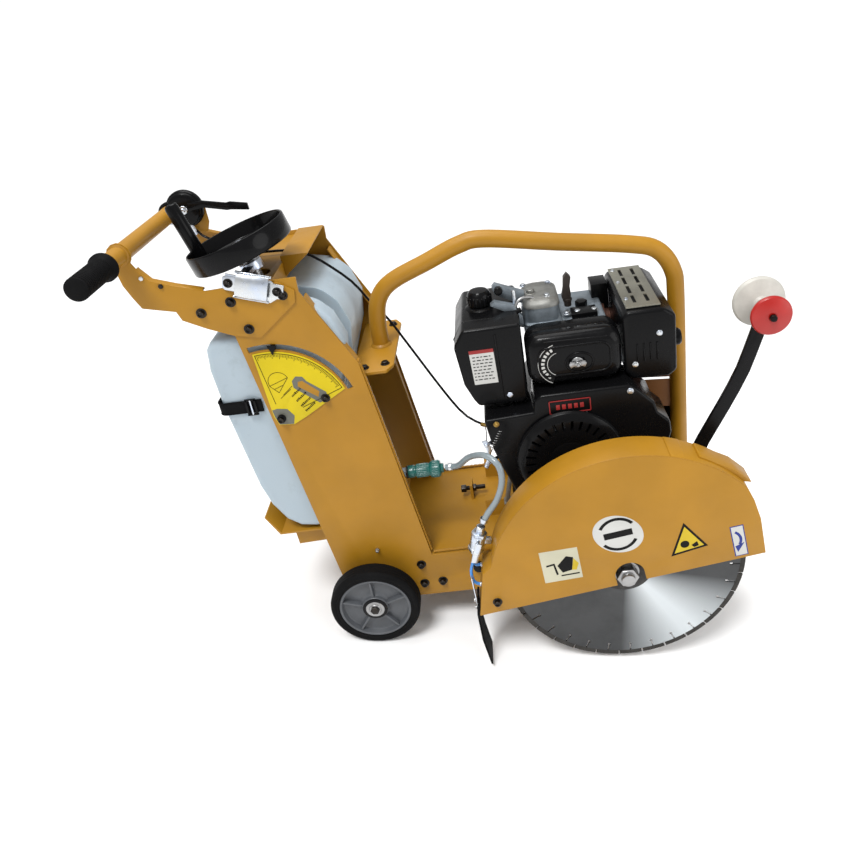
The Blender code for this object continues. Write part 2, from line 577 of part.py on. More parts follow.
# ---- arbor, blade, guard and belt drive ------------------------------------------------------------------
def arbor(machine):
    axis = pivot("arbor_pivot", ARBOR_X, 0, ARBOR_Z, machine)
    at = (ARBOR_X, 0, ARBOR_Z)
    hub = BLADE_Y + BLADE_T / 2 + GAP
    shaft = [(0, 222), (12, 222), (ARBOR_R, 160), (ARBOR_R, hub + 60), (22, hub + 52), (22, hub + 14)]
    shaft += [(52, hub + 8), (52, hub), (12.7, hub), (12.7, -284), (0, -284)]
    low, high = PULLEY_Y - PULLEY_W / 2, PULLEY_Y + PULLEY_W / 2
    spindle = turned("arbor_shaft", shaft, at, (0, 1, 0), "steel", axis, 28)
    join(spindle, rod("arbor_pulley", ARBOR_PULLEY_R - 9, (ARBOR_X, low, ARBOR_Z), (ARBOR_X, high, ARBOR_Z),
                      "steel", axis, 28))
    ring("saw_blade", BLADE_R, 12.7 + GAP, (ARBOR_X, BLADE_Y, ARBOR_Z), (0, 1, 0), BLADE_T, "steel", axis, 60)
    face = BLADE_Y - BLADE_T / 2 - GAP
    outer = [(12.7 + GAP, 0), (52, 0), (52, -6), (24, -12), (12.7 + GAP, -12)]
    turned("outer_flange", outer, (ARBOR_X, face, ARBOR_Z), (0, 1, 0), "steel", axis, 28)
    nut = [(15.2, -12.3), (21, -12.3), (21, -32), (15.2, -32)]
    turned("arbor_nut", nut, (ARBOR_X, face, ARBOR_Z), (0, 1, 0), "steel", axis, 6)
    for side, name in ((-1, "right"), (1, "left")):
        start = side * (INSIDE_Y - 26)
        turned(f"arbor_bearing_{name}",
               [(ARBOR_R + GAP, 0), (30, 0), (30, 16), (38, 17), (38, 26), (ARBOR_R + GAP, 26)],
               (ARBOR_X, start, ARBOR_Z), (0, side, 0), "black_paint", machine, 24)


def belt_drive(machine):
    axis = pivot("crank_pivot", CRANK_X, 0, CRANK_Z, machine)
    at = (CRANK_X, 0, CRANK_Z)
    crank = [(0, -95), (40, -95), (40, -80), (20, -78), (20, 100), (14, 102), (12.5, 226), (0, 226)]
    shaft = turned("crankshaft", crank, at, (0, 1, 0), "steel", axis, 20)
    low, high = PULLEY_Y - PULLEY_W / 2, PULLEY_Y + PULLEY_W / 2
    join(shaft, rod("crank_pulley", CRANK_PULLEY_R - 9, (CRANK_X, low, CRANK_Z), (CRANK_X, high, CRANK_Z),
                    "steel", axis, 28))
    belt = belt_loop(CRANK_PULLEY_R, ARBOR_PULLEY_R)
    hole = belt_loop(CRANK_PULLEY_R - 8, ARBOR_PULLEY_R - 8)
    band = prism("drive_belt", belt, low + 3, high - 3, "rubber", machine)
    cut(band, prism("belt_inside", hole, low - 5, high + 5, "steel", machine))
    shell = prism("belt_guard", belt_loop(CRANK_PULLEY_R + 16, ARBOR_PULLEY_R + 16), low - 14, high + 14,
                  "yellow_paint", machine)
    inside = prism("belt_guard_inside", belt_loop(CRANK_PULLEY_R + 13, ARBOR_PULLEY_R + 13), low - 30,
                   high + 11, "steel", machine)
    tab = box("belt_guard_tab", (560, 640), (low - 14, low - 10), (BASE_BOTTOM + 4, 96),
              "yellow_paint", machine)
    join(shell, tab)
    cut(shell, inside)


def belt_loop(top_r, low_r):
    """The line of a belt round the crank pulley and the arbor pulley."""
    apart = math.hypot(ARBOR_X - CRANK_X, ARBOR_Z - CRANK_Z)
    lean = math.atan2(ARBOR_Z - CRANK_Z, ARBOR_X - CRANK_X)
    open_angle = math.acos((top_r - low_r) / apart)
    first = arc(CRANK_X, CRANK_Z, top_r, lean + open_angle, lean + 2 * math.pi - open_angle, 14)
    second = arc(ARBOR_X, ARBOR_Z, low_r, lean - open_angle, lean + open_angle, 14)
    return first + second


def guard_outline(inset):
    """The guard's side shape about its own centre: a half disc with a straight tail and a cut nose."""
    r = GUARD_R - inset
    nose = 238 - inset
    low = -9.6
    tail = [(-300 + inset, low), (-268 + inset, 86)]
    curve = arc(0, 0, r, math.radians(158), math.acos(nose / r), 22)
    return [*tail, *curve, (nose, low)]


def blade_guard(machine):
    axis = pivot("blade_guard_pivot", ARBOR_X, GUARD_FRONT_Y, ARBOR_Z, machine)

    def drawn(name, outline, y0, y1):
        shifted = [(x + GUARD_X, z + GUARD_Z) for x, z in outline]
        return turn_about(prism(name, shifted, y0, y1, "yellow_paint", axis), GUARD_X, GUARD_Z, GUARD_TILT)

    shell = drawn("blade_guard", guard_outline(0), GUARD_FRONT_Y, GUARD_BACK_Y)
    inner = guard_outline(GUARD_T)
    inner = [(x, z if z > 0 else -40) for x, z in inner]
    cavity = drawn("guard_cavity", inner, GUARD_FRONT_Y + GUARD_T, GUARD_BACK_Y - GUARD_T)
    notch = [(-34, -40), (20, -40), *arc(-7, 10, 27, 0, math.pi, 10)]
    window = drawn("guard_notch", notch, GUARD_FRONT_Y - 5, GUARD_FRONT_Y + 8)
    behind = [(-64, -40), (50, -40), *arc(-7, 10, 57, 0, math.pi, 12)]
    back_window = drawn("guard_back_notch", behind, GUARD_BACK_Y - 8, GUARD_BACK_Y + 5)
    cut(shell, cavity, window, back_window)
    return axis


def rubber_flap(axis):
    """A rubber mat hanging behind the guard's tail."""
    outline = [(210.2, 34), (207.4, 16), (209, -50), (218, -116)]
    outline += [(222, -116), (213, -50), (211.4, 16), (214.2, 34)]
    prism("guard_flap", outline, -272, -214, "rubber", axis)


def water_line(machine, guard_axis):
    """A stop valve on the guard's rear edge, its feed hose from the tank, and a hose to each blade face."""
    low_end, along = Vector((219, -232, 133)), Vector((22, 0, 68)).normalized()
    body = [(0, 0), (8, 0), (8, 10), (14, 16), (14, 44), (8, 50), (8, 64), (0, 64)]
    turned("water_valve", body, low_end, along, "zinc", guard_axis, 14)
    centre = low_end + along * 30
    axis = pivot("valve_lever_pivot", centre.x, -250, centre.z, machine)
    stem = rod("valve_lever", 4, (centre.x, -252, centre.z), (centre.x, -246.4, centre.z), "zinc", axis, 12)
    across = Vector((along.z, 0, -along.x)) * 6
    ends = (centre + along * 8, centre - along * 36)
    grip = [ends[0] - across, ends[1] - across, ends[1] + across, ends[0] + across]
    join(stem, prism("valve_grip", [(p.x, p.z) for p in grip], -254, -251, "zinc", axis))
    feed = [(178.4, -110, 250), (188, -111.5, 251), (206, -126, 262), (232, -160, 300), (262, -200, 326),
            (285, -222, 318), (289, -230, 288), (276, -232, 250), (256, -232, 222), (243, -232, 201)]
    cord("feed_hose", feed, 12, "clear_hose", machine, 3)
    near = [(218.6, -237.2, 131.8), (212, -238, 114), (207, -240, 96), (208, -243, 80), (213, -245, 72),
            (219.6, -246, 69)]
    cord("blue_hose_lower", near, 6, "blue_hose", machine, 2)
    far = [(218.6, -226.8, 131.8), (214.5, -227, 118), (214, -229, 109), (218, -231, 104),
           (225.6, -231, 103)]
    cord("blue_hose_upper", far, 6, "blue_hose", machine, 2)


def pointer(machine):
    x, y, z = POINTER_PIVOT
    axis = pivot("pointer_arm_pivot", x, y, z, machine)
    line = smooth_route([(x, 0, z), (624, 0, 170), (655, 0, 255), (702, 0, 345), (733, 0, 408), (752, 0, 462),
                         (ROLLER_X, 0, ROLLER_Z)], 40)
    left, right = [], []
    for i, point in enumerate(line[1:-1], 1):
        along = (line[i + 1] - line[i - 1]).normalized()
        side = Vector((along.z, 0, -along.x)) * 12
        left.append((point.x - side.x, point.z - side.z))
        right.append((point.x + side.x, point.z + side.z))
    foot_round = arc(x, z, 13, math.radians(-20), math.radians(-195), 8)
    head_round = arc(ROLLER_X, ROLLER_Z, 13, math.radians(160), math.radians(-20), 8)
    arm = prism("pointer_arm", foot_round + left + head_round + right[::-1], y - 4, y + 4,
                "black_paint", axis)
    pin = rod("pointer_pin_bolt", 7, (x, y - 9, z), (x, y + 1, z), "black_paint", axis, 12)
    spindle = rod("roller_spindle", 5, (ROLLER_X, y - 44, ROLLER_Z), (ROLLER_X, y + 50, ROLLER_Z),
                  "steel", axis, 12)
    join(arm, pin, spindle)
    red = pivot("pointer_roller_red_pivot", ROLLER_X, y - 27, ROLLER_Z, machine)
    turned("pointer_roller_red", [(5 + GAP, -11), (34, -7), (35, -3), (34, 1), (12, 12), (5 + GAP, 12)],
           (ROLLER_X, y - 25, ROLLER_Z), (0, 1, 0), "red_plastic", red, 28)
    white = pivot("pointer_roller_white_pivot", ROLLER_X, y + 32, ROLLER_Z, machine)
    bowl = [(5 + GAP, -18), (14, -14), (44, -3), (46, 2), (44, 7), (12, 12), (5 + GAP, 12)]
    turned("pointer_roller_white", bowl, (ROLLER_X, y + 34, ROLLER_Z), (0, 1, 0), "white_plastic", white, 28)


# ---- engine ----------------------------------------------------------------------------------------------
def engine(machine):
    sump = RAIL_TOP + GAP
    case = [(300, sump), (580, sump), (580, 128), (548, 150), (540, 300)]
    case += [(500, 350), (372, 350), (330, 290), (322, 150), (300, 132)]
    crankcase = prism("crankcase", case, -46, 146, "black_paint", machine)
    rounded(crankcase, 8, 1)
    boss = rod("crank_boss", 46, (CRANK_X, 140, CRANK_Z), (CRANK_X, 166, CRANK_Z), "aluminium", machine, 24)
    join(crankcase, boss)
    cut(crankcase,
        rod("crank_bore", 24, (CRANK_X, -60, CRANK_Z), (CRANK_X, 132, CRANK_Z), "steel", machine),
        rod("pto_bore", 16, (CRANK_X, 120, CRANK_Z), (CRANK_X, 180, CRANK_Z), "steel", machine))
    shroud = arc(CRANK_X + 2, CRANK_Z + 2, 132, math.radians(-60), math.radians(240), 24)
    housing = prism("fan_housing", shroud, -158, -47, "black_paint", machine)
    bowl = rod("fan_bowl", 108, (CRANK_X, -140, CRANK_Z), (CRANK_X, -30, CRANK_Z), "steel", machine, 28)
    cut(housing, bowl)
    barrel = box("cylinder_head", (366, 520), (-40, 110), (350.5, 500), "aluminium", machine)
    rounded(barrel, 10, 1)
    rocker = box("rocker_cover", (372, 440), (-28, 84), (498, 552), "aluminium", machine)
    fins = []
    for i in range(5):
        z = 366 + i * 18
        groove = box(f"fin_gap_{i}", (360, 530), (-50, -34), (z, z + 9), "steel", machine)
        fins.append(groove)
    join(barrel, rounded(rocker, 12, 2))
    cut(barrel, *fins)
    hinge = pivot("decompression_lever_pivot", 454, 20, 512, machine)
    stem = rod("decompression_lever", 7, (454, 20, 501.5), (454, 20, 524), "steel", hinge, 12)
    paddle = [(450, 518), (459, 518), (469, 572), (457, 576), (449, 560)]
    blade_up = prism("decompression_grip", paddle, 12, 28, "black_paint", hinge)
    join(stem, blade_up)
    fuel_tank(machine)
    filter_case = box("air_filter", (366, 540), (-118, -46), (404, 504), "black_plastic", machine)
    rounded(filter_case, 16, 3)
    muffler(machine)


def fuel_tank(machine):
    outline = [(250, 372), (236, 440), (228, 500), (228, 540)]
    outline += [(244, 580), (330, 580), (352, 566), (352, 380)]
    tank = prism("fuel_tank", outline, -106, 92, "black_paint", machine)
    rounded(tank, 14, 3)
    stalk = rod("fuel_neck", 19, (286, 0, 572), (286, 0, 586), "black_paint", machine, 20)
    join(tank, stalk)
    axis = pivot("fuel_cap_pivot", 286, 0, 586, machine)
    turned("fuel_cap", [(0, 0), (24, 0), (24, 16), (20, 20), (0, 20)], (286, 0, 586.3), (0, 0, 1),
           "black_plastic", axis, 20)


def muffler(machine):
    outline = [(552, 386), (545, 396), (545, 504), (552, 513)]
    outline += [(630, 513), (637, 504), (637, 396), (630, 386)]
    body = prism("muffler", outline, -104, 92, "black_paint", machine)
    rounded(body, 8, 2)
    pipe = rod("exhaust_stub", 19, (520.5, 60, 450), (560, 60, 450), "steel", machine, 16)
    join(body, pipe)
    knob = rod("muffler_outlet", 10, (630, -70, 470), (652, -70, 470), "black_paint", machine, 16)
    join(body, knob)


def throttle(machine):
    x, y, z = BAR_X + 30, THROTTLE_Y, BAR_Z + 4
    axis = pivot("throttle_lever_pivot", x, y - 8, z, machine)
    hub = rod("throttle_lever", 12, (x, y - 13, z), (x, y - 4.6, z), "black_paint", axis, 16)
    blade = [(x, z + 9), (x + 40, z + 13), (x + 126, z - 5), (x + 126, z - 16), (x + 40, z + 1), (x, z - 9)]
    flat = prism("throttle_blade", blade, y - 11, y - 6, "black_paint", axis)
    join(hub, flat)
    route = [(x + 6, y + 1, z - 40), (x + 14, y, z - 52), (x + 36, y - 8, z - 64)]
    route += [(-180, 66, 702), (-150, 44, 695), (-119, 26, 690), (-82, 20, 689), (-50, 22, 685)]
    route += [(-28, 24, 676), (-2, 28, 656), (46, 32, 606), (73, 36, 558), (101, 36, 517)]
    route += [(128, 30, 466), (182, 8, 368), (216, -12, 318), (238, -28, 303), (262, -50, 300)]
    cord("throttle_cable", route, 5, "black_plastic", machine, 2)


# ---- assembly --------------------------------------------------------------------------------------------
def clear_scene():
    for obj in list(bpy.data.objects):
        bpy.data.objects.remove(obj)


def settle(machine):
    """Sets the machine nose-up on the floor, centred over the origin."""
    machine.rotation_euler = (0, -NOSE_UP, 0)
    bpy.context.view_layer.update()
    graph = bpy.context.evaluated_depsgraph_get()
    low, high = Vector((1e9,) * 3), Vector((-1e9,) * 3)
    for obj in bpy.data.objects:
        if obj.type not in ("MESH", "CURVE") or obj.hide_render:
            continue
        shape = obj.evaluated_get(graph)
        mesh = shape.to_mesh()
        for vertex in mesh.vertices:
            point = shape.matrix_world @ vertex.co
            low = Vector(map(min, low, point))
            high = Vector(map(max, high, point))
        shape.to_mesh_clear()
    machine.location = (-(low.x + high.x) / 2, -(low.y + high.y) / 2, -low.z)


def build():
    clear_scene()
    machine = bpy.data.objects.new("machine", None)
    bpy.context.scene.collection.objects.link(machine)
    side_plates(machine)
    engine_deck(machine)
    tension_bolt(machine)
    roll_bar(machine)
    console_cover(machine)
    handle(machine)
    water_tank(machine)
    tank_strap(machine)
    tank_tray(machine)
    dial(machine)
    nut_at = depth_control(machine)
    rear_wheels(machine)
    front_gear(nut_at, machine)
    arbor(machine)
    belt_drive(machine)
    guard_axis = blade_guard(machine)
    rubber_flap(guard_axis)
    water_line(machine, guard_axis)
    pointer(machine)
    engine(machine)
    throttle(machine)
    settle(machine)


build()
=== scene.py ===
"""The looks of a walk-behind floor saw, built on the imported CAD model.

Most shapes here are drawn in millimetres in the machine's own level frame, as the CAD is: +X forward, +Y to
the machine's left, +Z up, origin on the rear axle. MACHINE sets that frame nose-up on its wheels.
"""

import json
import math
import random

import bmesh
import bpy
from mathutils import Matrix, Vector

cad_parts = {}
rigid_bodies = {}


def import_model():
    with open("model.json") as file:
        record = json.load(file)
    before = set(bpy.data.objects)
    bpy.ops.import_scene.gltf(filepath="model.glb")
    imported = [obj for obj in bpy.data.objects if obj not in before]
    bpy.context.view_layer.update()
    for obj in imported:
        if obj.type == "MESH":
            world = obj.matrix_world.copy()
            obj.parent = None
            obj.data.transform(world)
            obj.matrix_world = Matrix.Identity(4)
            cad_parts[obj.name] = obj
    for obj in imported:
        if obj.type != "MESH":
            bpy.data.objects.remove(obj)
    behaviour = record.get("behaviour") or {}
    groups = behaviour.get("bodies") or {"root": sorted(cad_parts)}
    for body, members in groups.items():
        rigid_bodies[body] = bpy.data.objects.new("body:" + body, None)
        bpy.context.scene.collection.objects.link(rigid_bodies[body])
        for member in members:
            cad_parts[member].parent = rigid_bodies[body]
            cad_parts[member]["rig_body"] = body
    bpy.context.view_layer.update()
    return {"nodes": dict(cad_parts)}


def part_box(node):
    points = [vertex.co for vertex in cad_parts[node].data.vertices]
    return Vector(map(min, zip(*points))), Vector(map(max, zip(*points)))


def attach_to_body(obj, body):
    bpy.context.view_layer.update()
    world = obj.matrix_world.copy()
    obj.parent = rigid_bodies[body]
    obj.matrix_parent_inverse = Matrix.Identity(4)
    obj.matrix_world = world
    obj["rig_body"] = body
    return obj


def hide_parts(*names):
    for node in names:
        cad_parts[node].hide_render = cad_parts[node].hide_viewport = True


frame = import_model()

NOSE_UP = math.radians(9)
BLADE_R, BLADE_Y, SEGMENTS = 225, -243, 30
ARBOR = Vector((496, 0, 70.5))
GUARD = Vector((508.4, 0, 69.5))
GUARD_R, GUARD_FRONT, GUARD_BACK, GUARD_TILT = 266.8, -275, -210, math.radians(8.4)
DEPTH_LEAN = math.radians(15)
DOWN = Vector((math.sin(DEPTH_LEAN), 0, -math.cos(DEPTH_LEAN)))
HUB = Vector((-106, -75, 722))
DIAL = Vector((-96, -150, 427))
BAR = Vector((-286, 0, 768))


def middle(node):
    low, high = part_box(node)
    return (Vector(low) + Vector(high)) / 2


AXLE = middle("rear_axle")
MID_Y = (middle("right_side_plate").y + middle("left_side_plate").y) / 2
MACHINE = (Matrix.Translation((AXLE.x, MID_Y, AXLE.z)) @ Matrix.Rotation(-NOSE_UP, 4, "Y")
           @ Matrix.Scale(0.001, 4))


def put(name, data):
    """An object of this data, in the scene."""
    obj = bpy.data.objects.new(name, data)
    bpy.context.scene.collection.objects.link(obj)
    return obj


def mesh_of(name, bm):
    mesh = bpy.data.meshes.new(name)
    bm.to_mesh(mesh)
    bm.free()
    return mesh


# ---- camera, light and floor -----------------------------------------------------------------------------
def set_camera():
    turn, tilt, roll = math.radians(-3.90), math.radians(26.62), math.radians(-8.95)
    look = Vector((math.sin(turn) * math.cos(tilt), math.cos(turn) * math.cos(tilt), -math.sin(tilt)))
    right = Vector((math.cos(turn), -math.sin(turn), 0))
    below = look.cross(right)
    side = right * math.cos(roll) - below * math.sin(roll)
    under = right * math.sin(roll) + below * math.cos(roll)
    place = Matrix((side, -under, -look)).transposed().to_4x4()
    place.translation = Vector((341, -1390.4, 1101.7))
    data = bpy.data.cameras.new("camera")
    data.lens, data.sensor_width = 32.92, 36
    data.shift_x, data.shift_y = -0.0472, -0.0700
    data.clip_start = 0.01
    camera = put("camera", data)
    placed = MACHINE @ place
    turned_only = placed.to_3x3().normalized().to_4x4()
    turned_only.translation = placed.translation
    camera.matrix_world = turned_only
    bpy.context.scene.camera = camera


def add_light(name, at, size, power):
    data = bpy.data.lights.new(name, "AREA")
    data.shape, data.size, data.energy = "DISK", size, power
    light = put(name, data)
    light.location = at
    light.rotation_euler = (Vector((0.1, 0, 0.35)) - Vector(at)).to_track_quat("-Z", "Y").to_euler()


def set_studio():
    scene = bpy.context.scene
    world = bpy.data.worlds.new("studio")
    world.use_nodes = True
    world.node_tree.nodes["Background"].inputs["Color"].default_value = (1, 1, 1, 1)
    world.node_tree.nodes["Background"].inputs["Strength"].default_value = 0.50
    scene.world = world
    sun = bpy.data.lights.new("sun", "SUN")
    sun.energy, sun.angle = 2.4, math.radians(18)
    high = put("sun", sun)
    high.rotation_euler = Vector((0.9, 1.3, -2.6)).to_track_quat("-Z", "Y").to_euler()
    add_light("key", (-1.3, -2.2, 2.6), 1.6, 7)
    add_light("fill", (2.3, -1.3, 1.3), 2.0, 22)
    add_light("top", (-0.5, 0.5, 2.7), 1.8, 34)
    scene.view_settings.view_transform = "Standard"
    scene.view_settings.look = "None"
    bm = bmesh.new()
    bmesh.ops.create_grid(bm, x_segments=1, y_segments=1, size=70)
    floor = put("floor", mesh_of("floor", bm))
    floor.location.z = -0.0005
    pale = bpy.data.materials.new("floor")
    pale.use_nodes = True
    shader = pale.node_tree.nodes["Principled BSDF"]
    shader.inputs["Base Color"].default_value = (0.93, 0.93, 0.93, 1)
    shader.inputs["Roughness"].default_value = 0.9
    floor.data.materials.append(pale)


# ---- materials -------------------------------------------------------------------------------------------
class Shader:
    """A Principled material and the few node chains that the finishes here are made of."""

    def __init__(self, name, colour, roughness, metallic=0.0, coat=0.0):
        self.material = bpy.data.materials.new(name)
        self.material.use_nodes = True
        self.tree = self.material.node_tree
        self.out = self.tree.nodes["Principled BSDF"]
        self.colour, self.roughness = colour, roughness
        self.set("Base Color", (*colour, 1))
        self.set("Roughness", roughness)
        self.set("Metallic", metallic)
        self.set("Coat Weight", coat)
        if max(colour) < 0.02:
            self.set("Specular IOR Level", 0.08)
        self.coords = self.node("ShaderNodeTexCoord").outputs["Object"]

    def node(self, kind, **settings):
        made = self.tree.nodes.new(kind)
        for key, value in settings.items():
            setattr(made, key, value)
        return made

    def link(self, source, target):
        self.tree.links.new(source, target)

    def set(self, socket, value):
        self.out.inputs[socket].default_value = value

    def noise(self, scale, detail=4.0, rough=0.55, coords=None):
        made = self.node("ShaderNodeTexNoise")
        made.inputs["Scale"].default_value = scale
        made.inputs["Detail"].default_value = detail
        made.inputs["Roughness"].default_value = rough
        self.link(coords or self.coords, made.inputs["Vector"])
        return made.outputs["Fac"]

    def ramp(self, source, low, high, start=0.0, end=1.0):
        made = self.node("ShaderNodeMapRange")
        made.inputs["From Min"].default_value = low
        made.inputs["From Max"].default_value = high
        made.inputs["To Min"].default_value = start
        made.inputs["To Max"].default_value = end
        self.link(source, made.inputs["Value"])
        return made.outputs["Result"]

    def math(self, operation, a, b):
        made = self.node("ShaderNodeMath", operation=operation)
        for socket, value in zip(made.inputs, (a, b)):
            if isinstance(value, (int, float)):
                socket.default_value = value
            else:
                self.link(value, socket)
        return made.outputs["Value"]

    def mix(self, factor, a, b):
        made = self.node("ShaderNodeMix", data_type="RGBA")
        self.link(factor, made.inputs["Factor"])
        for socket, value in ((made.inputs[6], a), (made.inputs[7], b)):
            if isinstance(value, tuple):
                socket.default_value = (*value, 1)
            else:
                self.link(value, socket)
        return made.outputs[2]

    def bump(self, height, strength, distance=0.001):
        made = self.node("ShaderNodeBump")
        made.inputs["Strength"].default_value = strength
        made.inputs["Distance"].default_value = distance
        self.link(height, made.inputs["Height"])
        self.link(made.outputs["Normal"], self.out.inputs["Normal"])

    def paint_with(self, colour=None, roughness=None):
        if colour is not None:
            self.link(colour, self.out.inputs["Base Color"])
        if roughness is not None:
            self.link(roughness, self.out.inputs["Roughness"])


def tone(colour, factor):
    return tuple(min(1.0, channel * factor) for channel in colour)


def enamel(name, colour, roughness, coat=0.3, grime=0.35):
    """Sprayed enamel: slight orange peel, cloudy tone, and dust that gathers low down."""
    made = Shader(name, colour, roughness, coat=coat)
    made.set("Coat Roughness", 0.2)
    if max(colour) > 0.02:
        made.set("Specular IOR Level", 0.3)
    cloudy = made.mix(made.ramp(made.noise(9, 3), 0.35, 0.65), tone(colour, 0.93), tone(colour, 1.06))
    split = made.node("ShaderNodeSeparateXYZ")
    made.link(made.coords, split.inputs["Vector"])
    low = made.ramp(split.outputs["Z"], 0.34, 0.06)
    specks = made.ramp(made.noise(55, 6, 0.7), 0.50, 0.74)
    dust = made.math("MULTIPLY", made.math("MULTIPLY", low, specks), grime)
    made.paint_with(
        made.mix(dust, cloudy, tuple(0.7 * c + 0.02 for c in colour)),
        made.ramp(made.noise(22, 5, 0.6), 0.3, 0.7, roughness - 0.06, roughness + 0.10),
    )
    made.bump(made.noise(420, 2, 0.5), 0.10, 0.0006)
    return made.material


def moulded(name, colour, roughness, grain=900, depth=0.18, coat=0.0):
    """Moulded plastic or rubber: fine grain, soft tone changes and rubbed patches."""
    made = Shader(name, colour, roughness, coat=coat)
    rubbed = made.ramp(made.noise(16, 5, 0.65), 0.45, 0.75)
    made.paint_with(
        made.mix(rubbed, colour, tuple(c * 1.25 + 0.001 for c in colour)),
        made.ramp(made.noise(40, 4, 0.6), 0.3, 0.7, max(0.05, roughness - 0.08), min(1.0, roughness + 0.08)),
    )
    made.bump(made.noise(grain, 3, 0.6), depth, 0.0006)
    return made.material


def cast(name, colour, roughness, grain=260):
    """Sand-cast metal: pitted skin and stained hollows."""
    made = Shader(name, colour, roughness, metallic=0.75)
    stained = made.ramp(made.noise(30, 6, 0.7), 0.42, 0.72)
    made.paint_with(
        made.mix(stained, colour, tone(colour, 0.62)),
        made.ramp(made.noise(70, 4), 0.3, 0.7, roughness - 0.08, roughness + 0.12),
    )
    made.bump(made.noise(grain, 5, 0.7), 0.35, 0.0012)
    return made.material


def plated(name, colour, roughness, tint=(0.55, 0.62, 0.75)):
    """Bright zinc plate with its faint bluish bloom."""
    made = Shader(name, colour, roughness, metallic=1.0)
    bloom = made.ramp(made.noise(28, 4, 0.6), 0.40, 0.66)
    made.paint_with(
        made.mix(bloom, colour, tint),
        made.ramp(made.noise(60, 5, 0.7), 0.3, 0.7, roughness - 0.08, roughness + 0.14),
    )
    made.bump(made.noise(600, 2), 0.08, 0.0005)
    return made.material


def turned_steel(name, colour, roughness, centre=None):
    """Machined steel. With a centre it is for a disc square to Y: ringed, and with a painted highlight, a
    brighter sector that stands in for its glare.
    """
    made = Shader(name, colour, roughness, metallic=1.0)
    if centre is None:
        marks = made.noise(320, 3)
    else:
        move = made.node("ShaderNodeVectorMath", operation="SUBTRACT")
        made.link(made.coords, move.inputs[0])
        move.inputs[1].default_value = centre
        size = made.node("ShaderNodeVectorMath", operation="LENGTH")
        made.link(move.outputs["Vector"], size.inputs[0])
        spread = made.node("ShaderNodeCombineXYZ")
        made.link(size.outputs["Value"], spread.inputs["X"])
        marks = made.noise(900, 3, 0.7, spread.outputs["Vector"])
        made.set("Anisotropic", 0.8)
        radial = made.node("ShaderNodeTangent", direction_type="RADIAL", axis="Y")
        made.link(radial.outputs["Tangent"], made.out.inputs["Tangent"])
        parts = made.node("ShaderNodeSeparateXYZ")
        made.link(move.outputs["Vector"], parts.inputs["Vector"])
        flat = made.node("ShaderNodeCombineXYZ")
        made.link(parts.outputs["X"], flat.inputs["X"])
        made.link(parts.outputs["Z"], flat.inputs["Y"])
        # Painted highlight: a narrow sector round the centre is mixed to light grey in place of the glare of
        # the light.
        turn = made.node("ShaderNodeTexGradient", gradient_type="RADIAL")
        made.link(flat.outputs["Vector"], turn.inputs["Vector"])
        apart = made.math("ABSOLUTE", made.math("SUBTRACT", turn.outputs["Fac"], 0.37), 0.0)
        painted_glare = made.ramp(apart, 0.11, 0.01)
    stain = made.ramp(made.noise(12, 6, 0.65), 0.40, 0.75)
    tint = made.mix(stain, colour, tone(colour, 0.72))
    if centre is not None:
        tint = made.mix(painted_glare, tint, (0.62, 0.66, 0.68))
    made.paint_with(tint, made.ramp(marks, 0.3, 0.7, roughness - 0.08, roughness + 0.14))
    made.bump(marks, 0.12, 0.0005)
    return made.material


def milky(name, colour):
    """Blow-moulded polyethylene: it lets a little light in, and its walls are wavy."""
    made = Shader(name, colour, 0.42)
    made.set("Subsurface Weight", 0.35)
    made.set("Subsurface Radius", (0.02, 0.025, 0.03))
    made.set("Subsurface Scale", 0.6)
    scuffs = made.ramp(made.noise(26, 7, 0.75), 0.56, 0.76)
    made.paint_with(
        made.mix(scuffs, colour, tone(colour, 0.80)),
        made.ramp(made.noise(18, 4), 0.3, 0.7, 0.34, 0.52),
    )
    made.bump(made.noise(14, 3, 0.5), 0.35, 0.004)
    return made.material


def woven(name, colour, scale=1400):
    made = Shader(name, colour, 0.85)
    wave = made.node("ShaderNodeTexWave", bands_direction="Z")
    wave.inputs["Scale"].default_value = scale / 6
    made.link(made.coords, wave.inputs["Vector"])
    made.paint_with(made.mix(wave.outputs["Fac"], tone(colour, 0.6), tone(colour, 1.5)))
    made.bump(wave.outputs["Fac"], 0.5, 0.0006)
    return made.material


YELLOW = enamel("yellow_enamel", (0.345, 0.166, 0.0085), 0.45, 0.06)
WELD = enamel("weld_enamel", (0.31, 0.148, 0.009), 0.5, 0.06)
BLACK = enamel("black_enamel", (0.0038, 0.0038, 0.0042), 0.26, 0.10, 0.15)
PLASTIC = moulded("black_plastic", (0.0036, 0.0036, 0.0040), 0.24, 700, 0.07, 0.10)
GRAIN = moulded("grained_plastic", (0.0060, 0.0060, 0.0066), 0.5, 1200, 0.35)
RUBBER = moulded("rubber", (0.0042, 0.0042, 0.0045), 0.72, 500, 0.4)
TANK = milky("milky_plastic", (0.36, 0.43, 0.48))
STRAP = woven("webbing", (0.006, 0.006, 0.0065))
STEEL = turned_steel("steel", (0.40, 0.40, 0.40), 0.34)
# The blade steel's base colour holds a painted highlight: a brighter sector drawn by turned_steel.
BLADE = turned_steel("blade_steel", (0.080, 0.082, 0.084), 0.33,
                     MACHINE @ Vector((ARBOR.x, BLADE_Y, ARBOR.z)))
SEGMENT = cast("diamond_segment", (0.060, 0.056, 0.052), 0.7, 900)
ZINC = plated("zinc_plate", (0.62, 0.64, 0.65), 0.27)
BLACK_BOLT = plated("black_oxide", (0.030, 0.028, 0.027), 0.36, (0.045, 0.040, 0.035))
ALUMINIUM = cast("cast_aluminium", (0.25, 0.25, 0.235), 0.50)
HEAD_GREY = cast("head_casting", (0.26, 0.30, 0.335), 0.48)
RIM = moulded("grey_rim", (0.070, 0.075, 0.083), 0.45, 500, 0.2)
DIAL_FACE = enamel("dial_face", (0.56, 0.43, 0.002), 0.5, 0.0, 0.0)
GREY_FACE = enamel("dial_grey", (0.12, 0.12, 0.098), 0.45, 0.1, 0.0)
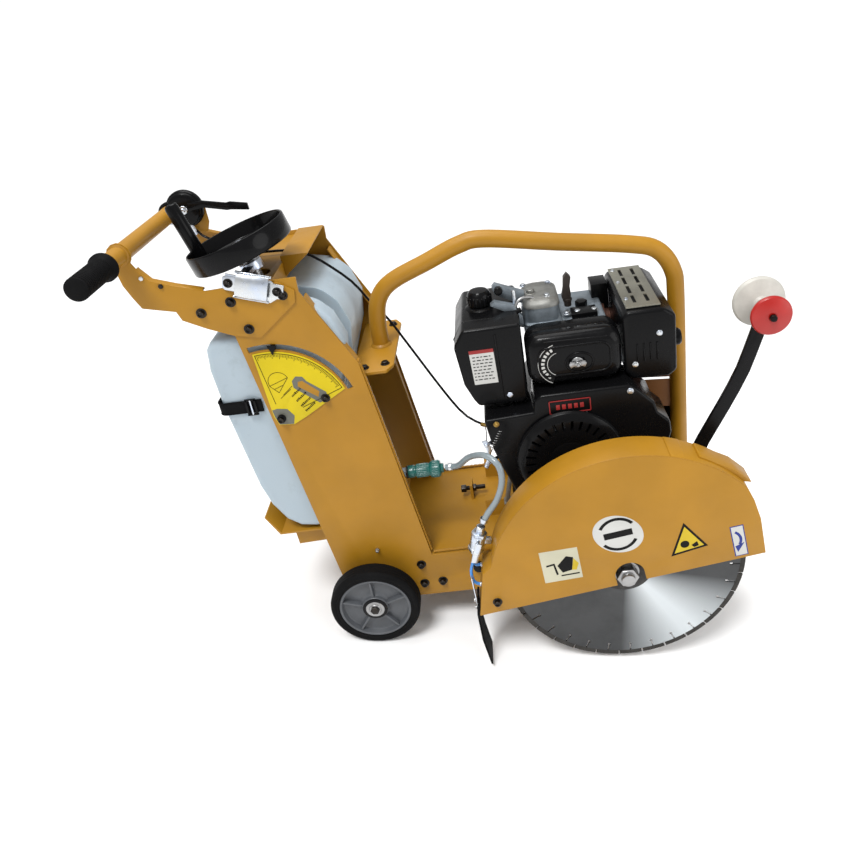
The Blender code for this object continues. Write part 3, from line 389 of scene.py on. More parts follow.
INK = enamel("ink", (0.008, 0.008, 0.008), 0.5, 0.0, 0.0)
LABEL = enamel("label_white", (0.50, 0.50, 0.48), 0.4, 0.1, 0.0)
CREAM = enamel("label_cream", (0.48, 0.46, 0.34), 0.4, 0.1, 0.0)
LABEL_RED = enamel("label_red", (0.26, 0.018, 0.018), 0.4, 0.1, 0.0)
LABEL_BLUE = enamel("label_blue", (0.010, 0.024, 0.20), 0.4, 0.1, 0.0)
LABEL_YELLOW = enamel("label_yellow", (0.50, 0.36, 0.008), 0.4, 0.1, 0.0)
RED = moulded("red_plastic", (0.34, 0.007, 0.004), 0.34, 300, 0.06, 0.05)
WHITE = moulded("white_plastic", (0.44, 0.425, 0.385), 0.40, 300, 0.08, 0.1)
HOSE = moulded("clear_hose", (0.20, 0.24, 0.26), 0.22, 900, 0.1, 0.35)
BLUE = moulded("blue_hose", (0.04, 0.22, 0.60), 0.28, 300, 0.05, 0.3)
TEAL = moulded("teal_fitting", (0.006, 0.090, 0.078), 0.35, 500, 0.1, 0.3)
BRASS = turned_steel("brass", (0.42, 0.27, 0.075), 0.32)
STEEL_SHIELD = turned_steel("shield_steel", (0.36, 0.35, 0.29), 0.44)
LEVER = moulded("lever_paint", (0.020, 0.013, 0.009), 0.45, 400, 0.15)
# Yellow enamel darkened to brown: painted shade, a shaded copy of the yellow for a plate that lies in shade.
SHADE_BROWN = enamel("painted_shade_yellow_enamel", (0.22, 0.085, 0.020), 0.5, 0.05)
RUST = cast("hot_steel", (0.085, 0.036, 0.024), 0.6, 500)


# ---- drawing ---------------------------------------------------------------------------------------------
def arc(x, z, radius, start, end, steps):
    """Points along an arc in (x, z), start and end in degrees."""
    angles = [math.radians(start + (end - start) * i / steps) for i in range(steps + 1)]
    return [(x + radius * math.cos(a), z + radius * math.sin(a)) for a in angles]


def spaced(count, shift=0):
    """Angles evenly spaced round a turn."""
    return [2 * math.pi * (i + shift) / count for i in range(count)]


def ray(angle):
    """The unit vector at this angle in the side view."""
    return Vector((math.cos(angle), 0, math.sin(angle)))


def beside(angle):
    """The unit vector square to the ray at this angle."""
    return Vector((-math.sin(angle), 0, math.cos(angle)))


def flat(points):
    return [(p.x, p.z) for p in points]


def around(centre, outline):
    """An (x, z) outline given from a centre."""
    return [(x + centre.x, z + centre.z) for x, z in outline]


def radial_bar(centre, angle, start, end, half):
    """The (x, z) corners of a bar that points away from a centre."""
    way, across = ray(angle), beside(angle) * half
    return flat((centre + way * start - across, centre + way * end - across, centre + way * end + across,
                 centre + way * start + across))


def smooth_route(points, spacing):
    """Evenly spaced points along a Catmull-Rom curve through the given points."""
    points = [Vector(p) for p in points]
    padded = [2 * points[0] - points[1], *points, 2 * points[-1] - points[-2]]
    dense = []
    for a, b, c, d in zip(padded, padded[1:], padded[2:], padded[3:]):
        for step in range(24):
            t = step / 24
            dense.append(
                0.5 * (2 * b + (c - a) * t + (2 * a - 5 * b + 4 * c - d) * t**2
                       + (3 * b - a - 3 * c + d) * t**3)
            )
    dense.append(points[-1])
    total = sum((q - p).length for p, q in zip(dense, dense[1:]))
    count = max(2, round(total / spacing))
    out, walked, wanted = [dense[0]], 0.0, total / count
    for p, q in zip(dense, dense[1:]):
        step = (q - p).length
        while walked + step >= wanted - 1e-9 and len(out) < count:
            out.append(p.lerp(q, (wanted - walked) / step))
            wanted += total / count
        walked += step
    return [*out, dense[-1]]


def rounded_box(x0, x1, z0, z1, r, steps=7):
    out = []
    for cx, cz, start in ((x1 - r, z1 - r, 0), (x0 + r, z1 - r, 90), (x0 + r, z0 + r, 180),
                          (x1 - r, z0 + r, 270)):
        out += arc(cx, cz, r, start, start + 90, steps)
    return out


def spring(start, end, radius, turns):
    start, end = Vector(start), Vector(end)
    way = (end - start).normalized()
    side = way.orthogonal().normalized()
    other = way.cross(side)
    out = []
    for i in range(turns * 12 + 1):
        a = 2 * math.pi * i / 12
        out.append(start.lerp(end, i / (turns * 12)) + side * radius * math.cos(a)
                   + other * radius * math.sin(a))
    return out


class Piece:
    """One piece in the making, drawn in mm in the level frame. Each call adds a closed shape to it."""

    def __init__(self, material=None):
        self.bm = bmesh.new()
        self.slots = [material] if material else []
        self.mark = 0

    def use(self, material):
        """What is drawn from here on takes this material."""
        if material not in self.slots:
            self.slots.append(material)
        self.mark = self.slots.index(material)
        return self

    def close(self, faces):
        for face in faces:
            face.material_index = self.mark
        bmesh.ops.recalc_face_normals(self.bm, faces=faces)
        return self

    def loft(self, rings, closed=False):
        """Skins rings of points; a ring of one point is a pole. An open loft gets end caps."""
        made = [[self.bm.verts.new(p) for p in ring] for ring in rings]
        faces = []
        pairs = list(zip(made, made[1:] + made[:1])) if closed else list(zip(made, made[1:]))
        for low, high in pairs:
            count = max(len(low), len(high))
            if count == 1:
                continue
            for i in range(count):
                j = (i + 1) % count
                corners = [low[i % len(low)], low[j % len(low)], high[j % len(high)], high[i % len(high)]]
                faces.append(self.bm.faces.new(list(dict.fromkeys(corners))))
        if not closed:
            faces += [self.bm.faces.new(ring) for ring in (made[0], made[-1]) if len(ring) > 2]
        return self.close(faces)

    def prism(self, outline, y0, y1):
        """An (x, z) outline stretched from y0 to y1."""
        return self.loft([[(x, y, z) for x, z in outline] for y in (y0, y1)])

    def slab(self, outline, z0, z1):
        """An (x, y) outline stretched from z0 to z1."""
        return self.loft([[(x, y, z) for x, y in outline] for z in (z0, z1)])

    def box(self, x, y, z):
        return self.prism([(x[0], z[0]), (x[1], z[0]), (x[1], z[1]), (x[0], z[1])], y[0], y[1])

    def turned(self, profile, centre, axis, sides=48):
        """A loop of (radius, along) points turned about an axis through centre; a radius of 0 is a pole."""
        turn = Vector((0, 0, 1)).rotation_difference(Vector(axis)).to_matrix()
        rings = []
        for radius, along in profile:
            count = 1 if radius == 0 else sides
            angles = [2 * math.pi * i / sides for i in range(count)]
            rings.append(
                [Vector(centre) + turn @ Vector((radius * math.cos(a), radius * math.sin(a), along))
                 for a in angles]
            )
        return self.loft(rings, closed=True)

    def rod(self, radius, start, end, sides=24, edge=0.0):
        """A round bar between two points, its ends rounded off by edge."""
        start, end = Vector(start), Vector(end)
        length = (end - start).length
        e = min(edge, radius * 0.9, length / 2)
        profile = [(0, 0), (radius - e, 0), (radius, e), (radius, length - e), (radius - e, length),
                   (0, length)]
        return self.turned(profile, start, (end - start).normalized(), sides)

    def tube(self, route, radius, sides=20, flat=1.0):
        """A bar along a route. flat squeezes its second axis."""
        route = [Vector(p) for p in route]
        along = [(route[min(i + 1, len(route) - 1)] - route[max(i - 1, 0)]).normalized()
                 for i in range(len(route))]
        side = along[0].orthogonal().normalized()
        rings = []
        for point, way in zip(route, along):
            side = (side - way * side.dot(way)).normalized()
            other = way.cross(side)
            rings.append([point + side * math.cos(a) * radius + other * math.sin(a) * radius * flat
                          for a in spaced(sides)])
        return self.loft(rings)

    def bead(self, route, radius):
        """A weld: a low bar along a route, swelling and sinking with each drop."""
        dense = smooth_route(route, radius * 0.9)
        rings = []
        for i, point in enumerate(dense):
            before, after = dense[max(i - 1, 0)], dense[min(i + 1, len(dense) - 1)]
            way = (after - before).normalized()
            side = way.orthogonal().normalized()
            other = way.cross(side)
            size = radius * (0.86 + 0.16 * math.sin(i * 1.9))
            rings.append([point + side * math.cos(a) * size + other * math.sin(a) * size for a in spaced(8)])
        return self.loft(rings)

    def ribs(self, centre, axis, radius, low, high, count, thick):
        """A knurl: short bars round a knob or a cap."""
        axis = Vector(axis).normalized()
        side = axis.orthogonal().normalized()
        other = axis.cross(side)
        for a in spaced(count):
            foot = Vector(centre) + (side * math.cos(a) + other * math.sin(a)) * radius
            self.rod(thick, foot + axis * low, foot + axis * high, 10, thick * 0.6)
        return self

    def spoke(self, centre, axis, angle, inner, outer, wide, narrow, low, high):
        """A rib of a wheel's web, from the hub to the rim, standing up from low to high."""
        axis = Vector(axis)
        way = ray(angle)
        side = axis.cross(way)
        rings = []
        for along, half in ((low, wide), (high, narrow)):
            rings.append([Vector(centre) + way * r + side * s + axis * along
                          for r, s in ((inner, -half), (outer, -half), (outer, half), (inner, half))])
        return self.loft(rings)

    def bolt(self, at, axis, size=6.0, washer=True, socket=False):
        """A bolt head standing on a face: hexagon or socket cap, on a washer."""
        axis = Vector(axis).normalized()
        at = Vector(at)
        lift = 0.0
        if washer:
            self.turned([(0, 0), (size * 1.25, 0), (size * 1.25, 1.0), (size * 1.15, 1.5), (0, 1.5)], at,
                        axis, 24)
            lift = 1.4
        if socket:
            r, h = size * 0.82, size * 0.95
            profile = [(0, 0), (r, 0), (r, h - 0.8), (r - 0.8, h), (r * 0.55, h), (r * 0.5, h - 2.6),
                       (0, h - 2.6)]
            return self.turned(profile, at + axis * lift, axis, 24)
        r, h = size * 0.98, size * 0.62
        self.turned([(0, 0), (r, 0), (r, h * 0.82), (r * 0.86, h), (0, h)], at + axis * lift, axis, 6)
        return self

    def turn(self, centre, angle):
        """Turns all that has been drawn so far about Y."""
        bmesh.ops.rotate(self.bm, verts=self.bm.verts, cent=centre, matrix=Matrix.Rotation(angle, 3, "Y"))
        return self

    def finish(self, name, node, replace=(), bevel=0.0, segments=2, smooth=35, cutters=(), cut_last=False):
        """Makes the object. It takes its body from a CAD node, and may stand for some nodes."""
        obj = put(name, mesh_of(name, self.bm))
        for material in self.slots:
            obj.data.materials.append(material)
        if not cut_last:
            cut_with(obj, cutters)
        if bevel:
            round_edges(obj, bevel, segments, 32)
        if cut_last:
            cut_with(obj, cutters)
        obj.data.transform(MACHINE)
        return attach(shade(obj, smooth), node, replace)

    def stand_for(self, name, node, **settings):
        """Makes the object in place of this CAD node."""
        return self.finish(name, node, (node,), **settings)

    def cutter(self):
        """What has been drawn, as an object to cut with, in mm in the level frame."""
        return put("cutter", mesh_of("cutter", self.bm))


def bake_modifiers(obj):
    graph = bpy.context.evaluated_depsgraph_get()
    baked = bpy.data.meshes.new_from_object(obj.evaluated_get(graph))
    obj.modifiers.clear()
    obj.data = baked


def round_edges(obj, width, segments, angle):
    rounding = obj.modifiers.new("rounding", "BEVEL")
    rounding.width, rounding.segments = width, segments
    rounding.limit_method, rounding.angle_limit = "ANGLE", math.radians(angle)
    bake_modifiers(obj)


def shade(obj, angle=35):
    """Smooth shading, with an edge over this many degrees left sharp."""
    obj.data.shade_smooth()
    obj.data.set_sharp_from_angle(angle=math.radians(angle))
    return obj


def cut_with(obj, cutters):
    for cutter in cutters:
        cutting = obj.modifiers.new("cut", "BOOLEAN")
        cutting.operation, cutting.object = "DIFFERENCE", cutter
    if cutters:
        bake_modifiers(obj)
    for cutter in cutters:
        bpy.data.objects.remove(cutter)


def attach(obj, node, replace=()):
    """The piece rides where this CAD node rides; it stands for the nodes in replace."""
    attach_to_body(obj, frame["nodes"][node]["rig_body"])
    if replace:
        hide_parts(*replace)
    return obj


def softened(node, material, width=0.8, segments=2):
    """The CAD node's own shape with its edges rounded, for a piece whose shape is right."""
    bm = bmesh.new()
    points = {}
    for face in frame["nodes"][node].data.polygons:
        corners = []
        for index in face.vertices:
            place = tuple(round(value, 6) for value in frame["nodes"][node].data.vertices[index].co)
            if place not in points:
                points[place] = bm.verts.new(place)
            corners.append(points[place])
        if len(set(corners)) == len(corners) and not bm.faces.get(corners):
            bm.faces.new(corners)
    bmesh.ops.dissolve_limit(bm, angle_limit=math.radians(0.6), verts=bm.verts, edges=bm.edges)
    obj = put(node + "_finished", mesh_of(node + "_finished", bm))
    obj.data.materials.append(material)
    round_edges(obj, width / 1000, segments, 38)
    return attach(shade(obj), node, (node,))


def cord(node, points, diameter, material):
    """A hose or cable along the same listed points as its CAD solid, in mm."""
    curve = bpy.data.curves.new(node + "_line", "CURVE")
    curve.dimensions = "3D"
    curve.bevel_depth = diameter / 2000
    curve.bevel_resolution = 5
    curve.use_fill_caps = True
    total = sum((Vector(q) - Vector(p)).length for p, q in zip(points, points[1:]))
    route = [MACHINE @ p for p in smooth_route(points, total / 34)]
    spline = curve.splines.new("POLY")
    spline.points.add(len(route) - 1)
    for target, point in zip(spline.points, route):
        target.co = (*point, 1)
    curve.materials.append(material)
    obj = put(node + "_line", curve)
    attach(obj, node, (node,))
    return obj


# ---- cords -----------------------------------------------------------------------------------------------
THROTTLE = Vector((-256, 100, 772))
CABLE_ROUTE = [(-250, 101, 732), (-242, 100, 720), (-220, 92, 708), (-180, 66, 702), (-150, 44, 695),
               (-119, 26, 690), (-82, 20, 689), (-50, 22, 685), (-28, 24, 676), (-2, 28, 656), (46, 32, 606),
               (73, 36, 558), (101, 36, 517), (128, 30, 466), (182, 8, 368), (216, -12, 318), (238, -28, 303),
               (262, -50, 300)]
FEED_ROUTE = [(178.4, -110, 250), (188, -111.5, 251), (206, -126, 262), (232, -160, 300), (262, -200, 326),
              (285, -222, 318), (289, -230, 288), (276, -232, 250), (256, -232, 222), (243, -232, 201)]
NEAR_ROUTE = [(218.6, -237.2, 131.8), (212, -238, 114), (207, -240, 96), (208, -243, 80), (213, -245, 72),
              (219.6, -246, 69)]
FAR_ROUTE = [(218.6, -226.8, 131.8), (214.5, -227, 118), (214, -229, 109), (218, -231, 104),
             (225.6, -231, 103)]


def cords():
    cord("throttle_cable", CABLE_ROUTE, 5, PLASTIC)
    cord("feed_hose", FEED_ROUTE, 12, HOSE)
    cord("blue_hose_lower", NEAR_ROUTE, 6, BLUE)
    cord("blue_hose_upper", FAR_ROUTE, 6, BLUE)


# ---- frame and console -----------------------------------------------------------------------------------
RIGHT, LEFT = (0, -1, 0), (0, 1, 0)
PLATE_FACE, ARM_FACE = 150, 153.3
EAR_BOLTS = [(-126, 662), (-181, 649), (-108, 609), (-36, 662)]
BASE_BOLTS = [(99, 51), (98, 2), (136, 3)]


def frame_plates():
    for node in ("right_side_plate", "left_side_plate", "engine_deck", "console_cover", "tank_tray",
                 "right_handle_arm", "left_handle_arm", "belt_guard"):
        softened(node, YELLOW, 0.9, 3)
    for side, out, name in ((-1, RIGHT, "right"), (1, LEFT, "left")):
        bolts = Piece(BLACK_BOLT)
        for x, z in EAR_BOLTS:
            bolts.bolt((x, side * ARM_FACE, z), out, 7.4, socket=True)
        bolts.bolt((-234, side * ARM_FACE, 706), out, 4.6, washer=False)
        for x, z in BASE_BOLTS:
            bolts.bolt((x, side * PLATE_FACE, z), out, 7.8, socket=True)
        bolts.use(ZINC).bolt((-262, side * ARM_FACE, 724), out, 4.2, washer=False)
        bolts.use(STEEL).rod(4.6, (18, side * PLATE_FACE, 101), (18, side * 154, 101), 6, 0.5)
        bolts.rod(3, (18, side * 153, 101), (18, side * 159, 101), 20, 1.2)
        bolts.finish(f"{name}_plate_bolts", f"{name}_side_plate", bevel=0.35)
        seam = Piece(WELD)
        seam.bead([(128, side * 144.5, 76), (440, side * 144.5, 76)], 3.2)
        seam.bead([(548, side * 144.5, 76), (648, side * 144.5, 76)], 3.2)
        seam.bead([(125, side * 144.8, 82), (66, side * 144.8, 512)], 2.4)
        seam.finish(f"{name}_deck_weld", f"{name}_side_plate")
    hood = Piece(YELLOW)
    sheet = [(-60, 682.5), (-58, 681), (-58, 653), (-9, 690), (-9, 692.5), (-60, 692.5)]
    hood.prism(sheet, -30, 145)
    tie = [(64, 505), (58, 520), (22, 590), (-4, 648), (-7, 648), (19, 590), (55, 519), (61, 505)]
    hood.prism(tie, -145, -118).prism(tie, 118, 145)
    hood.finish("console_hood", "console_cover", bevel=0.9)


def roll_bar():
    route = smooth_route([(84, 0, 478), (86, 0, 530), (97, 0, 575), (128, 0, 606), (200, 0, 635),
                          (262, 0, 659), (310, 0, 664), (440, 0, 640), (575, 0, 616), (625, 0, 598),
                          (652, 0, 556), (657, 0, 500), (657, 0, 300), (657, 0, 75)], 8)
    bar = Piece(YELLOW).tube(route, 16.5, 40)
    bar.use(WELD).turned([(16, 0), (20.5, 0.4), (19, 3), (16.4, 5.2)], (84, 0, 480), (0, 0, 1), 40)
    bar.turned([(16, 0), (20.5, 0.4), (19, 3), (16.4, 5.2)], (657, 0, 78), (0, 0, 1), 40)
    bar.stand_for("roll_bar_tube", "roll_bar")
    shelf = Piece(YELLOW)
    shelf.slab([(40, -118), (104, -118), (116, -96), (116, 96), (104, 118), (40, 118)], 474, 480)
    shelf.box((612, 680), (-34, 34), (72.3, 78))
    shelf.finish("roll_bar_feet", "roll_bar", bevel=1.0)
    bolts = Piece(BLACK_BOLT)
    for x, y in ((100, -90), (100, 90), (62, -98), (62, 98)):
        bolts.bolt((x, y, 480), (0, 0, 1), 7)
    for y in (-26, 26):
        bolts.bolt((632, y, 78), (0, 0, 1), 6)
    bolts.finish("roll_bar_bolts", "roll_bar", bevel=0.35)


def handle():
    x, z = BAR.x, BAR.z
    bar = Piece(YELLOW).rod(15.5, (x, -306, z), (x, 168, z), 48, 2)
    for y in (-155, 155):
        bar.use(WELD).turned([(15.2, -2.6), (18.6, -0.6), (18.6, 0.6), (15.2, 2.6)], (x, y, z), LEFT, 40)
    bar.use(GRAIN).turned([(0, 0), (16, 0), (16.6, 1), (15, 4), (0, 4.6)], (x, 168, z), LEFT, 40)
    bar.stand_for("handle_tube", "handle_bar")
    profile = [(15.8, 0), (23, 0), (24, 1), (24, 6), (22.6, 8), (19.6, 12)]
    for i in range(17):
        start = 13.5 + i * 4.9
        profile += [(19.2, start), (19.2, start + 2.5), (17.9, start + 3.2), (17.9, start + 4.2)]
    profile += [(19.2, 97.5), (18.6, 100.5), (15, 102.6), (8, 103), (0, 103), (0, 97), (15.8, 97)]
    grip = Piece(RUBBER).turned(profile, (x, -210, z), RIGHT, 48)
    grip.stand_for("ribbed_grip", "right_grip")


def throttle():
    x, y, z = THROTTLE
    body = Piece(PLASTIC)
    body.turned([(0, -4), (31, -4), (34.5, -2.5), (36, 0.5), (36, 8), (0, 8)], (x, y, z), LEFT, 72)
    body.turned([(15.8, -4.5), (21, -4.5), (22, -3), (22, 7), (21, 8), (15.8, 8)], (BAR.x, y, BAR.z), LEFT,
                48)
    body.prism([(BAR.x + 8, z - 24), (x - 4, z - 30), (x + 2, z - 14), (BAR.x + 14, z - 12)], y - 3, y + 7)
    body.use(ZINC).bolt((BAR.x - 4, y - 4.5, BAR.z - 18), RIGHT, 3.6)
    body.rod(4, (x + 3, y - 1, z - 28), (x + 8, y - 1, z - 46), 6, 0.6)
    body.rod(2.6, (x + 1, y - 1, z - 20), (x + 9.5, y - 1, z - 52), 20, 0.6)
    body.stand_for("throttle_housing", "throttle_body", bevel=0.7)
    plate = Piece(YELLOW)
    plate.prism(around(THROTTLE, [(-22, -30), (-10, -50), (30, -50), (37, -32), (37, -2), (22, 6), (-18, 6)]),
                y + 6, y + 9.4)
    plate.finish("throttle_plate", "throttle_body", bevel=0.6)
    lever = Piece(PLASTIC)
    lever.turned([(0, -9.5), (24, -9.5), (30, -8), (32.5, -5.2), (32.5, -4.6), (0, -4.6)], (x, y, z), LEFT,
                 72)
    lever.prism(around(THROTTLE, [(12, 13), (40, 13), (84, 3), (92, 4), (125, -3), (126, -16), (92, -11),
                                  (84, -11), (40, 0), (12, -3)]), y - 11, y - 5.4)
    lever.stand_for("throttle_handle", "throttle_lever", bevel=0.9)
    screw = Piece(ZINC)
    screw.turned([(0, 0), (8.4, 0), (8.4, 0.8), (7.6, 1.6), (0, 1.8)], (x, y - 9.4, z), RIGHT, 40)
    screw.turned([(0, 0), (4.8, 0), (4.6, 1.8), (3.2, 3), (0, 3.3)], (x, y - 11.0, z), RIGHT, 32)
    screw.finish("throttle_screw", "throttle_lever", bevel=0.2)


# ---- tank, dial and depth control ------------------------------------------------------------------------
def water_tank():
    rear = [(-208, 530), (-204, 449), (-194, 363), (-183, 272), (-171, 227), (-150, 188), (-125, 169),
            (-95, 164)]
    front = [(-40, 164), (-22, 182), (-22, 320), (8, 420), (38, 500), (46, 556), (30, 602), (4, 630)]
    top = [(-60, 645), (-104, 640), (-112, 590), (-150, 592), (-190, 588), (-203, 570)]
    high, low = HUB + DOWN * 40, HUB + DOWN * 560
    channel = [(high.x - 22, high.z), (high.x + 260, high.z), (low.x + 260, low.z), (low.x - 22, low.z)]
    room = Piece().prism(channel, HUB.y - 22, HUB.y + 22).cutter()
    tank = Piece(TANK).prism(rear + front + top, -138, 138)
    tank.stand_for("tank_shell", "water_tank", bevel=13, segments=5, cutters=[room], cut_last=True)
    fittings = Piece(TANK)
    fittings.turned([(24, 0), (26.5, 1), (26.5, 5), (24, 7), (24, 31.6), (20, 31.6), (20, 0)],
                    (-168, 20, 575), Vector((-8, 0, 31)).normalized(), 56)
    fittings.rod(9, (-30, -110, 250), (104, -110, 250), 32, 1)
    for y in (-52, 52):
        line = [(px + 1, y, pz) for px, pz in rear[:-1]]
        fittings.tube(smooth_route(line, 14), 7, 14, 0.7)
    seam = [(px, 0, pz) for px, pz in [(-203, 562), *rear]]
    fittings.tube(smooth_route(seam, 12), 2.2, 10)
    fittings.finish("tank_fittings", "water_tank")
    cap = Piece(PLASTIC)
    axis = Vector((-8, 0, 31)).normalized()
    cap.turned([(0, 0), (28.6, 0), (28.6, 13), (26, 17), (22, 18), (18, 16.6), (0, 16.6)],
               (-176.3, 20, 607.2), axis, 64)
    cap.ribs((-176.3, 20, 607.2), axis, 28.2, 1, 14.5, 36, 1.5)
    cap.stand_for("tank_cap_knurled", "tank_cap", bevel=0.3)


def strap():
    def line(inset):
        x, y, r = 212 - inset, 142 - inset, 14 - inset
        turn = [(-x + r - r * math.sin(a), -y + r - r * math.cos(a))
                for a in (0, 0.31, 0.63, 0.94, 1.26, math.pi / 2)]
        return [(-128, -y), *turn, *[(px, -py) for px, py in turn[::-1]], (-128, y)]

    band = Piece(STRAP).slab(line(0) + line(1.8)[::-1], 440, 466)
    band.stand_for("tank_webbing", "tank_strap", bevel=0.5)
    hem = Piece(STRAP)
    for z in (441.6, 464.4):
        hem.tube([(px, py, z) for px, py in line(-0.1)], 0.9, 8)
    hem.finish("tank_webbing_hem", "tank_strap")
    buckle = Piece(PLASTIC)
    for x0, x1 in ((-158, -154), (-142, -138)):
        buckle.box((x0, x1), (-146.4, -142.4), (437, 469))
    for z0, z1 in ((436.4, 440), (466, 469.6)):
        buckle.box((-158, -138), (-146.4, -142.4), (z0, z1))
    buckle.use(ZINC).rod(1.8, (-148, -145, 438), (-148, -145, 468), 16)
    buckle.finish("strap_buckle", "tank_strap", bevel=0.8)


def dial():
    softened("depth_dial", DIAL_FACE, 0.25)
    softened("depth_pointer", BLACK, 0.4)
    y0, y1 = -151.75, -152.15
    x, z = DIAL.x, DIAL.z
    print_on = Piece(GREY_FACE)
    print_on.prism(around(DIAL, [(-12, 3), (-7, -13), (19, -15), (24, 2), (14, 17), (-4, 20), (-14, 18)]), y0,
                   y1)
    slot = around(DIAL, [(36, 58), (36, 72), (44, 80), (56, 78), (62, 68), (92, 42), (92, 28), (76, 22)])
    print_on.prism(slot, y0, y1)
    print_on.use(YELLOW).prism(around(DIAL, [(44, 60), (46, 69), (54, 70), (80, 45), (76, 34)]), y0 - 0.3,
                               y1 - 0.2)
    ink = print_on.use(INK)
    rim = arc(x, z, 131, 21, 97.5, 40)
    inner = arc(x, z, 129.9, 21, 97.5, 40)
    ink.prism(rim + inner[::-1], y0, y1)
    base = Vector((x, 0, z))
    for degrees, start, end in ((97.5, 30, 131), (21, 46, 131)):
        ink.prism(radial_bar(base, math.radians(degrees), start, end, 0.5), y0, y1)
    for i in range(61):
        long = 8 if i % 5 == 0 else 4.5
        ink.prism(radial_bar(base, math.radians(24 + i * 1.2), 128.6 - long, 128.6, 0.32), y0, y1)
    drawing = arc(x + 12, z + 74, 19, 20, 200, 16)
    ink.prism(drawing + arc(x + 12, z + 74, 18.2, 20, 200, 16)[::-1], y0, y1)
    for (ax, az), (bx, bz) in (((-6, 67), (8, 52)), ((8, 52), (30, 80)), ((-6, 67), (30, 80)),
                               ((2, 60), (18, 66)), ((14, 46), (34, 62)), ((8, 40), (30, 56))):
        way = Vector((bx - ax, 0, bz - az)).normalized()
        side = Vector((-way.z, 0, way.x)) * 0.4
        p, q = Vector((x + ax, 0, z + az)), Vector((x + bx, 0, z + bz))
        ink.prism(flat((p - side, q - side, q + side, p + side)), y0, y1)
    picks = random.Random(4)
    for row in range(4):
        start = Vector((x + 30 + row * 6, 0, z + 40 - row * 11))
        way, up = Vector((0.80, 0, 0.60)), Vector((-0.60, 0, 0.80))
        along = 0.0
        while along < 26:
            wide = picks.uniform(1.2, 2.6)
            high = picks.uniform(3.0, 4.6)
            p = start + way * along
            ink.prism(flat((p, p + way * wide, p + way * wide + up * high, p + up * high)), y0, y1)
            along += wide + 1.3
    print_on.finish("dial_print", "depth_dial")
    bolts = Piece(BLACK_BOLT)
    bolts.bolt((-8, -151.8, 457), RIGHT, 7, socket=True)
    bolts.finish("dial_bolt", "depth_dial", bevel=0.35)
    cap = Piece(BLACK_BOLT).bolt((x, -157.9, z), RIGHT, 6.6, washer=False, socket=True)
    cap.finish("dial_centre_bolt", "depth_pointer", bevel=0.3)


def depth_control():
    up = -DOWN
    wheel = Piece(PLASTIC)
    dish = [(0, 15), (12, 15), (14, 13.5), (16, 8.5), (40, 7), (83, 8), (86, 11), (87.6, 33.6), (88.4, 35.6),
            (89.6, 36.3), (91, 35.6), (91.8, 33.6), (92, 3), (90.6, 0.4), (88, -0.8), (24, -4), (12, -6),
            (10, -16), (0, -16)]
    wheel.turned(dish, HUB, up, 112)
    wheel.use(ZINC).turned([(0, 0), (9.4, 0), (9.4, 1.4), (8.6, 2), (0, 2)], HUB + up * 14.8, up, 36)
    wheel.turned([(0, 0), (7, 0), (7, 4.6), (6, 5.6), (0, 5.6)], HUB + up * 16.6, up, 6)
    wheel.stand_for("handwheel_dish", "depth_handwheel", bevel=0.25)
    forward = ray(DEPTH_LEAN)
    foot = HUB - forward * 74 + up * 8
    knob = Piece(PLASTIC)
    knob.turned([(0, 1.5), (10, 1.5), (12, 7), (12, 108), (10.6, 113), (8.4, 114.6), (7, 113.4), (6, 111),
                 (0, 111)], foot, up, 48)
    knob.use(ZINC).turned([(0, 0), (4.6, 0), (4.4, 1.8), (0, 2.4)], foot + up * 110.8, up, 32)
    knob.stand_for("crank_knob_grip", "crank_knob")
    thread = [(0, 0), (7, 0), (10, 6)]
    for i in range(190):
        start = 8 + i * 4
        thread += [(10, start), (10, start + 1.5), (8.7, start + 2.1), (8.7, start + 3.4)]
    thread += [(10, 770), (10, 780), (8, 784), (0, 784)]
    screw = Piece(STEEL).turned(thread, HUB + DOWN * 16.3, DOWN, 20)
    screw.stand_for("depth_thread", "depth_screw")
    softened("screw_nut", STEEL, 0.8)
    softened("screw_bracket", ZINC, 0.5)
    saddle_clamp()


def saddle_clamp():
    """The plated saddle that holds the screw's head bearing on the right arm."""
    lean = math.radians(-19)
    way, out = Vector((math.cos(lean), 0, math.sin(lean))), Vector((math.sin(-lean), 0, math.cos(lean)))
    centre = Vector((-82, 0, 684))
    saddle = Piece(ZINC)
    rings = []
    for reach in (-27, 27):
        outer, inner = [], []
        for i in range(17):
            a = math.pi * i / 16
            outer.append(centre + way * reach + out * (23 * math.cos(a))
                         + Vector((0, -154 - 12 * math.sin(a) ** 0.7, 0)))
            inner.append(centre + way * reach + out * (20.6 * math.cos(a))
                         + Vector((0, -153.6 - 9.8 * math.sin(a) ** 0.7, 0)))
        rings.append(outer + inner[::-1])
    saddle.loft(rings)
    for start, end, half in ((-50, -26, 13), (26, 52, 13)):
        corners = [centre + way * start - out * half * 0.7, centre + way * (start + 6 * (start < 0))
                   - out * half, centre + way * end - out * half, centre + way * end + out * half,
                   centre + way * (start + 6 * (start < 0)) + out * half,
                   centre + way * start + out * half * 0.7]
        saddle.prism(flat(corners), -153.9, -157.4)
    for side in (-22.4, 22.4):
        a, b = centre + way * -30 + out * side, centre + way * 30 + out * side
        saddle.tube([a + Vector((0, -156, 0)), b + Vector((0, -156, 0))], 2.3, 14)
    saddle.finish("saddle_clamp", "screw_bracket", bevel=0.5)
    bolts = Piece(BLACK_BOLT)
    for reach in (-40, 42):
        p = centre + way * reach
        bolts.bolt((p.x, -157.4, p.z), RIGHT, 6.6, socket=True)
    bolts.finish("saddle_bolts", "screw_bracket", bevel=0.3)


